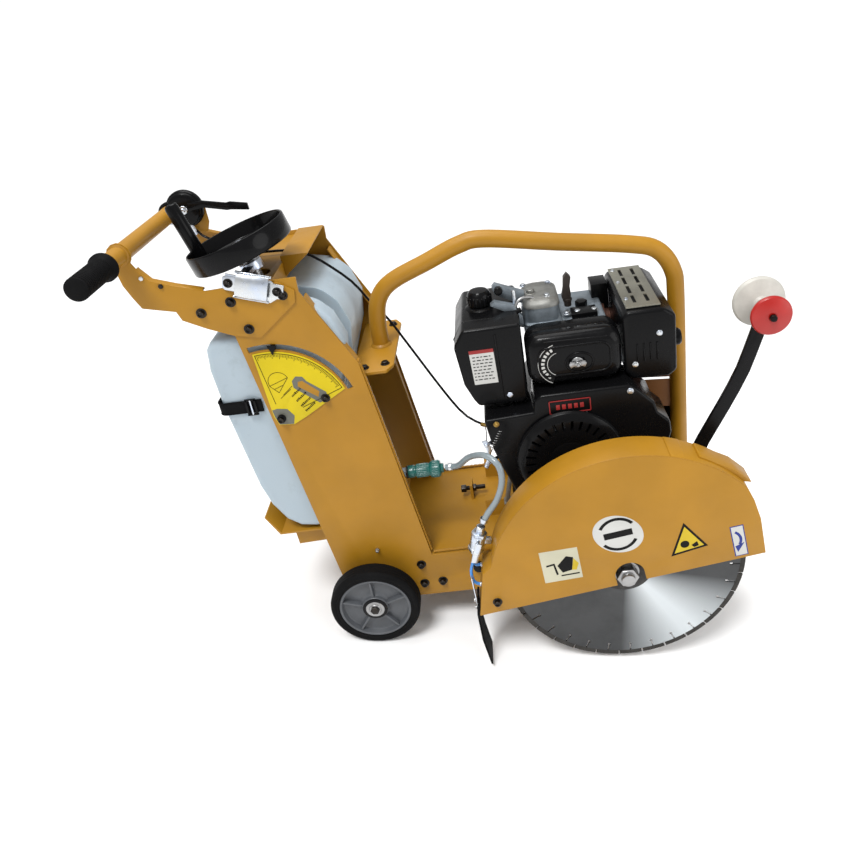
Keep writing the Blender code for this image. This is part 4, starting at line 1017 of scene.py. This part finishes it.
# ---- wheels and swing gear -------------------------------------------------------------------------------
def rear_wheels():
    axle = Piece(STEEL).rod(12.5, (0, -212, 0), (0, 212, 0), 40, 1.4)
    axle.stand_for("rear_axle_bar", "rear_axle")
    for side, name in ((-1, "right"), (1, "left")):
        centre = Vector((0, side * 191, 0))
        out = (0, side, 0)
        rim = Piece(RIM)
        rim.turned([(12.8, -18), (25, -18), (26, -17), (26, -4), (64, -3), (66, -16), (67, -17), (71, -17),
                    (72, -16), (72, 16), (71, 17), (68, 17.4), (66.6, 16.4), (64.5, 6), (58, 4.6), (32, 5.6),
                    (27.5, 9), (26.6, 15), (25.4, 16.4), (12.8, 16.4)], centre, out, 112)
        for i in range(5):
            a = math.radians(18 + 72 * i)
            rim.spoke(centre, out, a, 26, 67, 3.4, 1.9, 2, 14.6)
        rim.stand_for(f"{name}_rim_ribbed", f"rear_rim_{name}", bevel=0.5)
        hub = Piece(BLACK)
        hub.turned([(13, 12), (24, 12), (25, 13), (25, 17.6), (23.4, 18.6), (17, 18.6), (15, 17), (13, 17)],
                   centre, out, 64)
        hub.use(STEEL).turned([(12.8, 17), (18.6, 17), (18.6, 18.8), (17.8, 19.4), (12.8, 19.4)], centre, out,
                              48)
        hub.finish(f"{name}_hub_cap", f"rear_rim_{name}")
        bolt = Piece(BLACK_BOLT).rod(9.4, centre + Vector(out) * 20.6, centre + Vector(out) * 24.6, 6, 0.8)
        bolt.finish(f"{name}_axle_bolt", "rear_axle", bevel=0.3)
        tyre = Piece(RUBBER)
        profile = [(72.2, -18), (76, -18.6), (78, -17.8), (80, -18.6), (85, -18.2), (88.4, -15.6),
                   (89.8, -12)]
        for i in range(-3, 4):
            profile += [(90, i * 3.4 - 1.0),
                        (90, i * 3.4 + 1.0)] if i % 2 else [(89.5, i * 3.4 - 1), (89.5, i * 3.4 + 1)]
        profile += [(89.8, 12), (88.4, 15.6), (85, 18.2), (80, 18.6), (78, 17.8), (76, 18.6), (72.2, 18)]
        tyre.turned(profile, centre, out, 128)
        tyre.stand_for(f"{name}_tyre_moulded", f"rear_tyre_{name}")


def swing_gear():
    softened("swing_frame", BLACK, 0.7)
    for name in ("right", "left"):
        low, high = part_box(f"front_wheel_{name}")
        centre = MACHINE.inverted() @ ((low + high) / 2)
        wheel = Piece(RUBBER)
        wheel.turned([(41, -13.6), (43, -14.4), (46, -15), (48.8, -13.4), (50, -10), (50, 10), (48.8, 13.4),
                      (46, 15), (43, 14.4), (41, 13.6)], centre, LEFT, 72)
        wheel.use(RIM).turned([(8.3, -15), (17, -15), (18, -14), (20, -7), (38, -6), (40, -13), (41.4, -13.4),
                               (41.4, 13.4), (40, 13), (38, 6), (20, 7), (18, 14), (17, 15), (8.3, 15)],
                              centre, LEFT, 72)
        wheel.stand_for(f"front_{name}_tyre", f"front_wheel_{name}")


# ---- blade, guard and drive ------------------------------------------------------------------------------
def blade():
    """The steel disc with its rim slots, the diamond segments, and what clamps the disc to the arbor."""
    disc = Piece(BLADE)
    side = [(216, -1.5), (180, -1.5), (120, -1.5), (60, -1.5), (13, -1.5)]
    disc.turned([*side, *((radius, -along) for radius, along in reversed(side))], (ARBOR.x, BLADE_Y, ARBOR.z),
                LEFT, 180)
    slots = Piece()
    for a in spaced(SEGMENTS, 0.5):
        way, across = ray(a), beside(a)
        corners = [ARBOR + way * reach + across * shift for reach, shift in ((196, -2.4), (201, -2.4),
                                                                             (202, -1.3), (228, -1.3),
                                                                             (228, 1.3), (202, 1.3),
                                                                             (201, 2.4), (196, 2.4))]
        slots.prism(flat(corners), BLADE_Y - 6, BLADE_Y + 6)
    disc.stand_for("blade_disc", "saw_blade", smooth=20, cutters=[slots.cutter()])
    rim = Piece(SEGMENT)
    pitch = 2 * math.pi / SEGMENTS
    for i in range(SEGMENTS):
        a0, a1 = (i * pitch + 1.6 / BLADE_R), ((i + 1) * pitch - 1.6 / BLADE_R)
        outline = []
        for radius, reverse in ((224.6, False), (215.2, True)):
            angles = [a0 + (a1 - a0) * k / 6 for k in range(7)]
            for a in reversed(angles) if reverse else angles:
                outline.append((ARBOR.x + radius * math.cos(a), ARBOR.z + radius * math.sin(a)))
        rim.prism(outline, BLADE_Y - 1.75, BLADE_Y + 1.75)
    rim.finish("blade_segments", "saw_blade", bevel=0.25)
    flange = Piece(BLACK_BOLT)
    flange.turned([(13, -244.9), (51, -244.9), (52, -246), (52, -249), (50, -250.6), (26, -256.4), (24, -257),
                   (13, -257)], (ARBOR.x, 0, ARBOR.z), LEFT, 96)
    flange.stand_for("outer_flange_turned", "outer_flange")
    nut = Piece(STEEL)
    nut.turned([(13, -257.3), (20.4, -257.3), (21, -258.4), (21, -275), (19.6, -276.9), (13, -276.9)],
               (ARBOR.x, 0, ARBOR.z), LEFT, 6)
    nut.turned([(13, -257.2), (24, -257.2), (24, -258.8), (13, -258.8)], (ARBOR.x, 0, ARBOR.z), LEFT, 48)
    nut.stand_for("arbor_nut_hex", "arbor_nut", bevel=0.7)
    softened("arbor_shaft", STEEL, 0.6)
    stub = Piece(STEEL)
    stub.turned([(0, -276.6), (12.5, -276.6), (12.5, -281), (11, -283.6), (5, -284), (4.4, -279.6),
                 (0, -279)], (ARBOR.x, 0, ARBOR.z), LEFT, 40)
    stub.finish("arbor_end", "arbor_nut")
    for side, name in ((-1, "right"), (1, "left")):
        start = Vector((ARBOR.x, side * 119.7, ARBOR.z))
        housing = Piece(BLACK)
        housing.turned([(15.3, 0), (28, 0), (30, 2), (30, 14), (32, 16.4), (37, 17), (38, 18), (38, 25.4),
                        (37.2, 26), (15.3, 26)], start, (0, side, 0), 64)
        housing.stand_for(f"{name}_bearing_housing", f"arbor_bearing_{name}")


def guard_outline(inset):
    low = -9.6
    tail = [(-300 + inset, low), (-268 + inset, 86)]
    nose = [(234 - inset, 113), (240 - inset, 70), (239 - inset, low)]
    return [*tail, *arc(0, 0, GUARD_R - inset, 158, 32, 96), *nose]


def on_guard(outline):
    return around(GUARD, outline)


def guard():
    """A bent and welded cover, open below, with a notch on each side for the arbor."""
    inner = [(x, z if z > 0 else -40) for x, z in guard_outline(3)]
    front_notch = [(-34, -40), (20, -40), *arc(-7, 10, 27, 0, 180, 32)]
    back_notch = [(-64, -40), (50, -40), *arc(-7, 10, 57, 0, 180, 32)]
    cutters = []
    for outline, y0, y1 in ((inner, GUARD_FRONT + 3, GUARD_BACK - 3),
                            (front_notch, GUARD_FRONT - 5, GUARD_FRONT + 8),
                            (back_notch, GUARD_BACK - 8, GUARD_BACK + 5)):
        cutter = Piece().prism(on_guard(outline), y0, y1)
        cutters.append(cutter.turn(GUARD, -GUARD_TILT).cutter())
    shell = Piece(YELLOW).prism(on_guard(guard_outline(0)), GUARD_FRONT, GUARD_BACK)
    shell.turn(GUARD, -GUARD_TILT)
    shell.stand_for("guard_shell", "blade_guard", bevel=1.0, segments=3, cutters=cutters)


def guard_trim():
    trim = Piece(YELLOW)
    band = arc(0, 0, GUARD_R + 1.6, 66, 60, 6) + arc(0, 0, GUARD_R - 0.4, 60, 66, 6)
    trim.prism(on_guard(band), GUARD_FRONT + 1, GUARD_BACK - 1)
    beak = arc(0, 0, GUARD_R + 3, 54, 45, 8) + [(214, 172), (238, 139)] + arc(0, 0, GUARD_R - 1, 33, 54, 14)
    trim.prism(on_guard(beak), GUARD_FRONT + 18, GUARD_BACK - 2)
    trim.turn(GUARD, -GUARD_TILT)
    trim.finish("guard_joint_strip", "blade_guard", bevel=0.8)
    bolts = Piece(BLACK_BOLT)
    bolts.bolt((GUARD.x - 259, GUARD_FRONT, GUARD.z + 15.5), RIGHT, 7.4, socket=True)
    bolts.turn(GUARD, -GUARD_TILT)
    bolts.finish("guard_bolts", "blade_guard", bevel=0.3)
    weld = Piece(WELD)
    weld.bead([(x + GUARD.x, GUARD_FRONT + 1.2, z + GUARD.z) for x, z in arc(0, 0, GUARD_R - 0.6, 156, 33,
                                                                             60)], 1.5)
    weld.turn(GUARD, -GUARD_TILT)
    weld.finish("guard_rim_weld", "blade_guard")
    labels()


def labels():
    """Plain generic stickers in place of the printed ones."""
    y = GUARD_FRONT
    oval = Piece(LABEL)
    ring = [(-10 + 44 * math.cos(a) - 4 * math.sin(a), 108 + 43 * math.sin(a) - 4 * math.cos(a))
            for a in spaced(72)]
    oval.prism(on_guard(ring), y + 0.3, y - 0.3)
    for start, end, high in ((32, 148, 6), (212, 328, 6)):
        band = arc(-10, 108, 37, start, end, 24) + arc(-10, 108, 37 - high, end, start, 24)
        oval.use(INK).prism(on_guard(band), y, y - 0.42)
    oval.prism(on_guard([(-36, 101), (16, 101), (16, 115), (-36, 115)]), y, y - 0.42)
    square = oval.use(CREAM)
    square.prism(on_guard([(-161.8, 34.1), (-91.7, 29.4), (-87.2, 100.7), (-157.1, 106.6)]), y + 0.3, y - 0.3)
    square.use(INK).prism(on_guard([(-151, 74), (-135, 75), (-133, 48), (-137, 47), (-138, 71), (-151, 70)]),
                          y, y - 0.42)
    square.prism(on_guard([(-131, 68), (-111, 86), (-99, 80), (-107, 52), (-125, 50)]), y, y - 0.42)
    square.prism(on_guard([(-129, 42), (-95, 40), (-95, 43), (-129, 45)]), y, y - 0.42)
    square.use(LABEL_YELLOW).prism(on_guard([(-107, 52), (-99, 78), (-92, 64), (-99, 50)]), y, y - 0.5)
    triangle = square.use(INK)
    corners = [(106.3, 99.9), (140.7, 37.5), (73.0, 30.7)]
    triangle.prism(on_guard(corners), y + 0.3, y - 0.35)
    mid = (sum(c[0] for c in corners) / 3, sum(c[1] for c in corners) / 3)
    inside = [(mid[0] + (c[0] - mid[0]) * 0.80, mid[1] + (c[1] - mid[1]) * 0.80) for c in corners]
    triangle.use(LABEL_YELLOW).prism(on_guard(inside), y, y - 0.55)
    triangle.use(INK).prism(on_guard(arc(101, 52, 8, 0, 360, 24)[:-1]), y, y - 0.7)
    triangle.prism(on_guard([(112, 47), (123, 53), (125, 43), (116, 41)]), y, y - 0.7)
    arrow = triangle.use(LABEL_BLUE)
    arrow.prism(on_guard([(183.4, 66.9), (207.8, 66.7), (208.5, -2.7), (184.6, -2.4)]), y + 0.3, y - 0.3)
    arrow.use(LABEL).prism(on_guard([(185.2, 65), (206, 65), (206.7, -1), (186.4, -1)]), y, y - 0.42)
    shaft = arc(178, 36, 24, 52, -34, 14) + arc(178, 36, 19, -34, 52, 14)
    arrow.use(LABEL_BLUE).prism(on_guard(shaft), y, y - 0.55)
    arrow.prism(on_guard([(187.5, 21), (205, 27), (191, 7)]), y, y - 0.55)
    oval.turn(GUARD, -GUARD_TILT)
    oval.finish("guard_stickers", "blade_guard")


def water_parts():
    low_end, way = Vector((219, -232, 133)), Vector((22, 0, 68)).normalized()
    valve = Piece(ZINC)
    valve.turned([(0, 0), (7.4, 0), (8, 0.8), (8, 8), (9.4, 10), (13, 14), (14, 17), (14, 43), (13, 46),
                  (9, 50), (8, 52), (8.8, 53.4), (8, 55), (8.8, 57), (8, 59), (8.4, 63), (7, 64), (0, 64)],
                 low_end, way, 48)
    valve.turned([(0, 8), (15.6, 8), (15.6, 16), (0, 16)], low_end, way, 6)
    valve.turned([(0, 43), (15, 43), (15, 50), (0, 50)], low_end, way, 6)
    valve.rod(8.4, low_end + way * 30 + Vector((6, 3, -2)), low_end + way * 30 + Vector((24, 6, -8)), 6, 0.8)
    valve.stand_for("stop_valve", "water_valve", bevel=0.4)
    softened("valve_lever", ZINC, 0.5)
    boss = Piece(YELLOW)
    boss.rod(11, (231, -229, 150), (262, -222, 140), 32, 1.5)
    for route in (NEAR_ROUTE, FAR_ROUTE):
        boss.use(ZINC).rod(4.6, route[-1], Vector(route[-1]) + Vector((9, 1, -1)), 6, 0.5)
    boss.finish("valve_boss", "blade_guard", bevel=0.4)
    strip = Piece(ZINC)
    strip.prism([(206.6, 96), (208.6, 96), (211.5, 20), (209.5, 20)], -262, -250)
    for z in (40, 22):
        strip.use(STEEL).bolt((208.4, -256, z), (-1, 0, 0.06), 4)
    strip.finish("flap_strip", "guard_flap", bevel=0.3)
    softened("guard_flap", RUBBER, 0.8)
    connector = Piece(TEAL)
    connector.turned([(0, 0), (11, 0), (12.6, 1), (12.6, 12), (10.6, 13.4), (10.6, 15), (13, 16.4), (13, 40),
                      (12, 42), (15, 45), (16, 47), (16, 62), (14.6, 64), (9.4, 65), (9, 70), (0, 70)],
                     (104.5, -110, 250), (1, 0, 0), 48)
    connector.ribs((104.5, -110, 250), (1, 0, 0), 12.8, 17, 39, 22, 0.9)
    connector.ribs((104.5, -110, 250), (1, 0, 0), 15.8, 48, 61, 26, 0.9)
    connector.use(BLACK_BOLT).rod(14, (101, -110, 250), (104.6, -110, 250), 6, 0.8)
    connector.stand_for("quick_connector", "hose_connector", bevel=0.3)
    clamp = Piece(ZINC)
    clamp.turned([(6.2, -4), (7.6, -4), (7.6, 4), (6.2, 4)], FEED_ROUTE[1], (1, 0, 0.03), 32)
    clamp.turned([(6.2, -4), (7.6, -4), (7.6, 4), (6.2, 4)], Vector(FEED_ROUTE[-1]) + Vector((3, 0, 6)), way,
                 32)
    clamp.finish("hose_clamps", "water_valve", bevel=0.3)


def pointer():
    softened("pointer_arm", BLACK, 1.6, 3)
    x, y, z = 772, -158, 524
    red = Piece(RED)
    red.turned([(5.3, -11), (9, -11.6), (20, -9.6), (33, -7), (34.6, -5), (35, -3), (34.6, 0), (33.4, 1.4),
                (14, 9), (12, 11), (11, 12), (5.3, 12)], (x, y - 25, z), LEFT, 96)
    red.use(BLACK_BOLT).turned([(0, 0), (6.6, 0), (6.6, 4.6), (5.6, 5.6), (0, 5.6)], (x, y - 36.4, z), RIGHT,
                               6)
    red.stand_for("red_roller_wheel", "pointer_roller_red", bevel=0.25)
    white = Piece(WHITE)
    white.turned([(5.3, -18), (12, -18), (14, -16.4), (15.4, -13), (43, -4), (45.4, -1), (46, 2), (45.4, 5),
                  (43.6, 7.4), (14, 11), (12, 12), (5.3, 12)], (x, y + 34, z), LEFT, 112)
    white.stand_for("white_roller_wheel", "pointer_roller_white", bevel=0.3)
    bolt = Piece(BLACK_BOLT).bolt((600, y - 9, 95), RIGHT, 7)
    bolt.finish("pointer_pivot_bolt", "pointer_arm", bevel=0.3)


# ---- engine ----------------------------------------------------------------------------------------------
RECOIL = Vector((420, 0, 263))
COWL_FACE, FILTER_FACE, TANK_FACE = -138, -116.6, -105.8
ROCKER = [(34, 38), (26, 50), (12, 55), (-12, 55), (-28, 50), (-34, 38), (-34, -40), (-28, -52), (-12, -56),
          (12, -56), (26, -52), (34, -40)]


def crankcase():
    softened("crankcase", BLACK, 1.2, 3)
    softened("crankshaft", STEEL, 0.7)
    softened("drive_belt", RUBBER, 1.2)
    softened("tension_bolt", BLACK_BOLT, 0.6)
    feet = Piece(ALUMINIUM)
    for x0 in (304, 520):
        feet.box((x0, x0 + 52), (-62, -44), (112.4, 124))
        feet.box((x0 + 8, x0 + 16), (-60, -44), (122, 150))
        feet.box((x0 + 36, x0 + 44), (-60, -44), (122, 150))
    feet.box((280, 308), (-70, -47), (112.4, 118))
    feet.prism([(282, 116), (290, 116), (304, 176), (296, 176)], -68, -50)
    feet.finish("engine_feet", "crankcase", bevel=1.6)
    bolts = Piece(ZINC)
    for x in (316, 342, 534, 562):
        bolts.bolt((x, -54, 124), (0, 0, 1), 5.4)
    bolts.finish("engine_foot_bolts", "crankcase", bevel=0.3)
    nut = Piece(BLACK_BOLT)
    nut.rod(8.6, (212.4, 36, 92), (219, 36, 92), 6, 0.6)
    nut.finish("tension_locknut", "engine_deck", bevel=0.3)


def fan_housing():
    """The recoil starter on its cowl, which reaches from the head down to the deck."""
    bowl = Piece().rod(92, (RECOIL.x, -132, RECOIL.z), (RECOIL.x, -30, RECOIL.z), 64).cutter()
    shell = Piece(BLACK)
    outline = arc(438, 239, 136, -60, -14, 20)
    outline += [(602, 246), (613, 288), (611, 312), (589, 334), (583, 356), (556, 384), (540, 398),
                (376, 398)]
    outline += [(365, 388), (362, 364), (268, 360), (278, 293), (291, 248)]
    outline += arc(438, 239, 136, 200, 240, 18)
    shell.prism(outline, COWL_FACE, -47)
    shell.stand_for("fan_cowl", "fan_housing", bevel=5, segments=4, cutters=[bowl], cut_last=True)
    cover = Piece(BLACK)
    cover.turned([(40, 137), (94, 137), (99, 139), (101, 144), (98, 149), (86, 155), (82, 156), (40, 157.4)],
                 RECOIL, RIGHT, 112)
    cover.turned([(0, 137), (42, 137), (42, 156.6), (38, 158), (12, 157), (0, 157)], RECOIL, RIGHT, 72)
    slots = Piece()
    for a in spaced(30):
        slots.prism(radial_bar(RECOIL, a, 66, 85, 2.6), -170, -144)
    cover.finish("recoil_cover", "fan_housing", bevel=0.8, cutters=[slots.cutter()], cut_last=True)
    fins = Piece(INK)
    fins.turned([(0, 134), (92, 134), (92, 138), (0, 138)], RECOIL, RIGHT, 64)
    for a in spaced(24, 0.3):
        fins.use(RIM).prism(radial_bar(RECOIL, a, 48, 84, 1.2), -139, -146)
    fins.finish("recoil_fan", "fan_housing")
    bolts = Piece(ZINC)
    for x, z in ((359.6, 318.1), (496.7, 315.1), (540, 386)):
        bolts.bolt((x, COWL_FACE, z), RIGHT, 5)
    bolts.use(BRASS).bolt((290, COWL_FACE, 350), RIGHT, 4.6)
    bolts.finish("recoil_bolts", "fan_housing", bevel=0.3)
    plate, edge = Piece(BLACK), (COWL_FACE - 2.2, COWL_FACE - 1.2)
    plate.box((392, 465), (-139.6, -136), (359, 383))
    plate.use(LABEL_RED).box((390, 467), edge, (383, 385))
    plate.box((390, 467), edge, (357, 359))
    for x0 in (390, 465):
        plate.box((x0, x0 + 2), edge, (357, 385))
    plate.use(STEEL).box((398, 460), (-140, -138), (352, 355))
    plate.use(LABEL_RED)
    for i in range(5):
        plate.box((403 + i * 11, 410 + i * 11), (-140.1, -139.4), (366, 376))
    plate.finish("engine_plate", "fan_housing", bevel=0.4)


def cylinder_head():
    block = Piece(HEAD_GREY).box((366, 520), (-40, 110), (350.5, 494))
    grooves = Piece()
    groove = [(350, -60), (540, -60), (540, -31), (375, -31), (375, 101), (540, 101), (540, 130), (350, 130)]
    for i in range(7):
        grooves.slab(groove, 364 + i * 16, 371 + i * 16)
    block.stand_for("head_block", "cylinder_head", bevel=5, segments=3, cutters=[grooves.cutter()],
                    cut_last=True)
    rocker = Piece(HEAD_GREY)
    rocker.loft([[(401 + a * sx, 14 + b * sx, z) for a, b in ROCKER]
                 for sx, z in ((1.08, 490), (1.08, 498), (0.98, 501), (0.98, 530))])
    rocker.use(ALUMINIUM).loft([[(401 + a * sx, 14 + b * sx, z) for a, b in ROCKER]
                                for sx, z in ((1.01, 529), (1.01, 533), (0.94, 539), (0.82, 543.8),
                                              (0.6, 546))])
    rocker.finish("rocker_cover", "cylinder_head", smooth=50)
    top = Piece(ALUMINIUM)
    top.rod(8, (384, 2, 544), (384, 2, 554), 32, 1.5)
    top.rod(12, (384, 2, 538), (384, 2, 547), 32, 2)
    top.use(HEAD_GREY).prism([(312, 566), (318, 572), (372, 548), (372, 526), (352, 532), (316, 552)], 0, 16)
    top.prism([(306, 546), (314, 552), (350, 540), (364, 516), (364, 494), (348, 500), (338, 528)], -40, -24)
    top.use(PLASTIC).rod(8, (324, 8, 560), (324, -14, 562), 32, 2)
    top.use(ZINC).rod(3.6, (352, -26, 508), (352, -26, 566), 20, 0.8)
    for px, py, pz in ((413, -20, 544), (420, 44, 544), (372, 48, 543)):
        top.bolt((px, py, pz), (0, 0, 1), 5.4)
    for px in (448, 468, 500):
        top.bolt((px, -14, 500), (0, 0, 1), 6.4)
    top.use(STEEL).tube(smooth_route([(356, -28, 512), (350, -34, 530), (362, -30, 548), (386, -22, 545),
                                      (404, -24, 520)], 4), 3, 14)
    top.use(GRAIN).tube(smooth_route([(344, -44, 470), (338, -46, 500), (345, -40, 524), (362, -36, 530)], 5),
                        5, 16)
    top.use(PLASTIC).rod(9, (344, -44, 470), (344, -44, 492), 24, 2)
    top.use(ZINC).rod(5.2, (404, -26, 506), (404, -24, 524), 6, 0.6)
    top.finish("head_fittings", "cylinder_head", bevel=0.6)
    intake = Piece(BLACK)
    intake.rod(20, (482, -44, 470), (482, -8, 470), 40, 2)
    intake.rod(12, (480, 24, 492), (480, 24, 508), 6, 1)
    intake.box((456, 504), (-30, 4), (490, 504))
    intake.box((505, 537), (60, 108), (430, 522))
    intake.finish("head_intake", "cylinder_head", bevel=2)
    lever = Piece(LEVER)
    lever.rod(7, (454, 20, 501.5), (454, 20, 520), 32, 1)
    lever.rod(9, (454, 20, 512), (454, 20, 518), 6, 0.6)
    lever.prism([(447, 508), (460, 508), (461, 528), (460, 544), (463, 562), (456, 570), (449, 562),
                 (447, 540), (443, 524)], 13, 27)
    lever.stand_for("decompression_handle", "decompression_lever", bevel=2.2, segments=3)


def air_filter():
    case = Piece(PLASTIC)

    def shape(inset, r):
        return rounded_box(360 + inset, 534 - inset, 403 + inset, 504 - inset, r)

    case.loft([[(x, y, z) for x, z in shape(inset, r)] for inset, r, y in ((4, 24, -46), (1, 27, -49),
                                                                           (0, 28, -54), (0, 28, -76),
                                                                           (1.6, 27, -79), (1.6, 27, -82),
                                                                           (0, 28, -84), (0, 28, -98),
                                                                           (2, 27, -105), (7, 24, -111),
                                                                           (15, 20, -115), (24, 18, -116.4))])
    case.stand_for("filter_case", "air_filter", smooth=50)
    cover = Piece(PLASTIC)
    ring = rounded_box(382, 512, 425, 482, 18)
    cover.tube([(x, FILTER_FACE, z) for x, z in [*ring, ring[0]]], 2.2, 12)
    oval = [(455 + 25 * math.cos(a), FILTER_FACE, 447 + 19 * math.sin(a))
            for a in (math.pi * i / 24 for i in range(49))]
    cover.tube(oval, 2, 12)
    cover.tube([(394, -112.8, 492), (508, -112.8, 490)], 1.8, 12)
    cover.finish("filter_ridge", "air_filter")
    nut = Piece(STEEL)
    nut.turned([(0, 0), (11, 0), (11, 1.2), (9.6, 2), (0, 2)], (451, -117.4, 447), RIGHT, 40)
    nut.turned([(0, 0), (6.4, 0), (5.6, 8), (3.4, 9), (0, 9)], (451, -119.2, 447), RIGHT, 32)
    nut.turned([(0, 8), (2.8, 8), (2.8, 14), (0, 15)], (451, -119.2, 447), RIGHT, 20)
    for side in (-1, 1):
        nut.prism([(451 + side * 4, 443), (451 + side * 13, 440), (451 + side * 16, 447),
                   (451 + side * 13, 453), (451 + side * 4, 451)], -122, -125)
    nut.finish("filter_wing_nut", "air_filter", bevel=0.7)
    sticker = Piece(INK)
    sticker.prism(arc(420, 448, 41, 105, 245, 30) + arc(420, 448, 23, 245, 105, 30), -114, -117.4)
    sticker.use(LABEL)
    for radius in (41, 24):
        sticker.prism(arc(420, 448, radius, 105, 245, 30) + arc(420, 448, radius - 1, 245, 105, 30), -117,
                      -117.8)
    for i in range(9):
        a = 113 + i * 14
        sticker.prism(arc(420, 448, 35, a, a + 8, 3) + arc(420, 448, 29, a + 8, a, 3), -117, -117.8)
    sticker.finish("filter_sticker", "air_filter")


def fuel_tank():
    outline = [(254, 387), (240, 421), (231, 500), (251, 532), (356, 532), (356, 380), (346, 373), (262, 373)]
    tank = Piece(BLACK).prism(outline, -106, 95)
    tank.stand_for("fuel_tank_shell", "fuel_tank", bevel=12, segments=5)
    trim = Piece(BLACK)
    seam = [(255, 388), (241, 421), (232, 499), (252, 530.6), (354.6, 530.6), (354.6, 381), (345, 374.4),
            (263, 374.4)]
    ring = [(x, -62, z) for x, z in seam]
    trim.tube([*ring, ring[0]], 2.4, 12)
    trim.tube([(310, -105.6, 388), (309, -105.6, 450), (308, -105.6, 518)], 2.2, 12)
    trim.rod(19, (286, 0, 526), (286, 0, 538), 48, 1)
    trim.turned([(19, 0), (29, 0), (30, 1), (28, 3), (20, 6)], (286, 0, 530.6), (0, 0, 1), 64)
    trim.finish("fuel_tank_trim", "fuel_tank")
    cap = Piece(PLASTIC)
    cap.turned([(0, 0), (22.6, 0), (22.6, 18), (21, 23), (17, 27), (0, 28)], (286, 0, 538.3), (0, 0, 1), 64)
    cap.ribs((286, 0, 538.3), (0, 0, 1), 22.2, 1, 18, 18, 2.3)
    cap.stand_for("fuel_cap_knurled", "fuel_cap")
    label = Piece(LABEL)
    label.prism([(260, 421), (304, 421), (302, 491), (257, 491)], TANK_FACE, -106.5)
    label.use(LABEL_RED).prism([(257.4, 484), (302.2, 484), (302, 491), (257, 491)], -106, -106.7)
    label.use(INK)
    picks = random.Random(9)
    for row in range(8):
        x = 262.0
        while x < 296:
            wide = picks.uniform(3, 8)
            label.box((x, min(x + wide, 299)), (-106.7, -106.4), (476 - row * 6.6, 478 - row * 6.6))
            x += wide + 2.4
    label.finish("fuel_tank_label", "fuel_tank")
    bits = Piece(ZINC)
    bits.rod(6, (322, -107, 391), (322, -99, 391), 6, 0.6)
    bits.finish("fuel_drain", "fuel_tank", bevel=0.3)


def muffler():
    outline = [(550, 390), (538, 408), (538, 514), (546, 526), (612, 526), (634, 510), (634, 399), (619, 387)]
    body = Piece(BLACK).prism(outline, -104, 120)
    body.stand_for("muffler_shell", "muffler", bevel=7, segments=4)
    slots = Piece()
    for x in (567, 591):
        for y0, y1 in ((-74, -40), (-28, 8), (18, 54), (64, 98)):
            slots.slab([(x - 3.2, y0), (x + 3.2, y0), (x + 3.2, y1), (x - 3.2, y1)], 520, 540)
    shield = Piece(STEEL_SHIELD).box((547, 609), (-92, 112), (528.4, 531))
    shield.finish("muffler_shield", "muffler", bevel=0.6, cutters=[slots.cutter()])
    under = Piece(INK).box((552, 604), (-86, 106), (525.8, 527.6))
    for y in (-88, 106):
        under.use(BLACK).box((548, 608), (y - 3, y + 3), (522, 528.8))
    under.finish("muffler_shadow", "muffler", bevel=0.3)
    details = Piece(BLACK)
    details.turned([(0, 0), (14.4, 0), (16, 1.6), (16, 11), (13, 15), (0, 15)], (633, -70, 451), (1, 0, 0),
                   40)
    for x in (562, 574, 586, 598):
        details.tube([(x, -104.4, 427), (x, -104.4, 462)], 1.8, 10)
    details.use(ZINC)
    for x, z in ((603, 479), (557, 421)):
        details.bolt((x, -104, z), RIGHT, 4.6)
    for y in (-55, 30, 95):
        details.bolt((554, y, 531), (0, 0, 1), 3.2)
    details.finish("muffler_details", "muffler", bevel=0.4)
    pipe = Piece(RUST)
    pipe.tube(smooth_route([(522, 60, 450), (536, 60, 450), (556, 60, 450)], 5), 19, 32)
    pipe.turned([(19, 0), (30, 0), (30, 6), (19, 6)], (522, 60, 450), (1, 0, 0), 6)
    pipe.box((560, 626), (-60, 40), (368, 389))
    pipe.finish("exhaust_pipe", "muffler", bevel=0.8)
    stay = Piece(RUST)
    stay.prism([(574, 357), (632, 352), (632, 388), (562, 388), (562, 372)], -41, -38)
    # The brown plate is a yellow surface in painted shade: its colour is shaded yellow, not a brown part's
    # own colour.
    stay.use(SHADE_BROWN).prism([(584, 330), (646, 325), (645, 262), (606, 268)], -3, 0)
    stay.use(BLACK).prism([(604, 262), (648, 258), (650, 150), (596, 150)], 20, 23)
    stay.finish("muffler_stay", "muffler", bevel=0.5)


def governor():
    """The throttle lever at the cowl's rear edge, with its spring and the cable's clamp."""
    wire = Piece(BRASS).rod(4.2, (256, -48, 301), (270, -55, 299.6), 6, 0.5)
    wire.use(STEEL).tube(smooth_route([(262, -50, 300), (266, -80, 303), (266, -120, 306), (266, -139, 308)],
                                      4), 1.1, 10)
    wire.use(ZINC).prism([(258, 318), (268, 320), (274, 300), (270, 272), (262, 256), (256, 262), (264, 280),
                          (264, 300)], -139, -142)
    wire.bolt((266, -142, 310), RIGHT, 4)
    wire.rod(3.4, (266, -139, 268), (292, -110, 266), 16, 0.5)
    wire.rod(3.4, (266, -139, 308), (292, -110, 306), 16, 0.5)
    wire.use(STEEL).tube(spring((266, -136, 284), (296, -136, 336), 3.4, 11), 0.8, 8)
    wire.finish("governor_linkage", "crankcase", bevel=0.3)


set_camera()
set_studio()
cords()
frame_plates()
roll_bar()
handle()
throttle()
water_tank()
strap()
dial()
depth_control()
rear_wheels()
swing_gear()
blade()
guard()
guard_trim()
water_parts()
pointer()
crankcase()
fan_housing()
cylinder_head()
air_filter()
fuel_tank()
muffler()
governor()
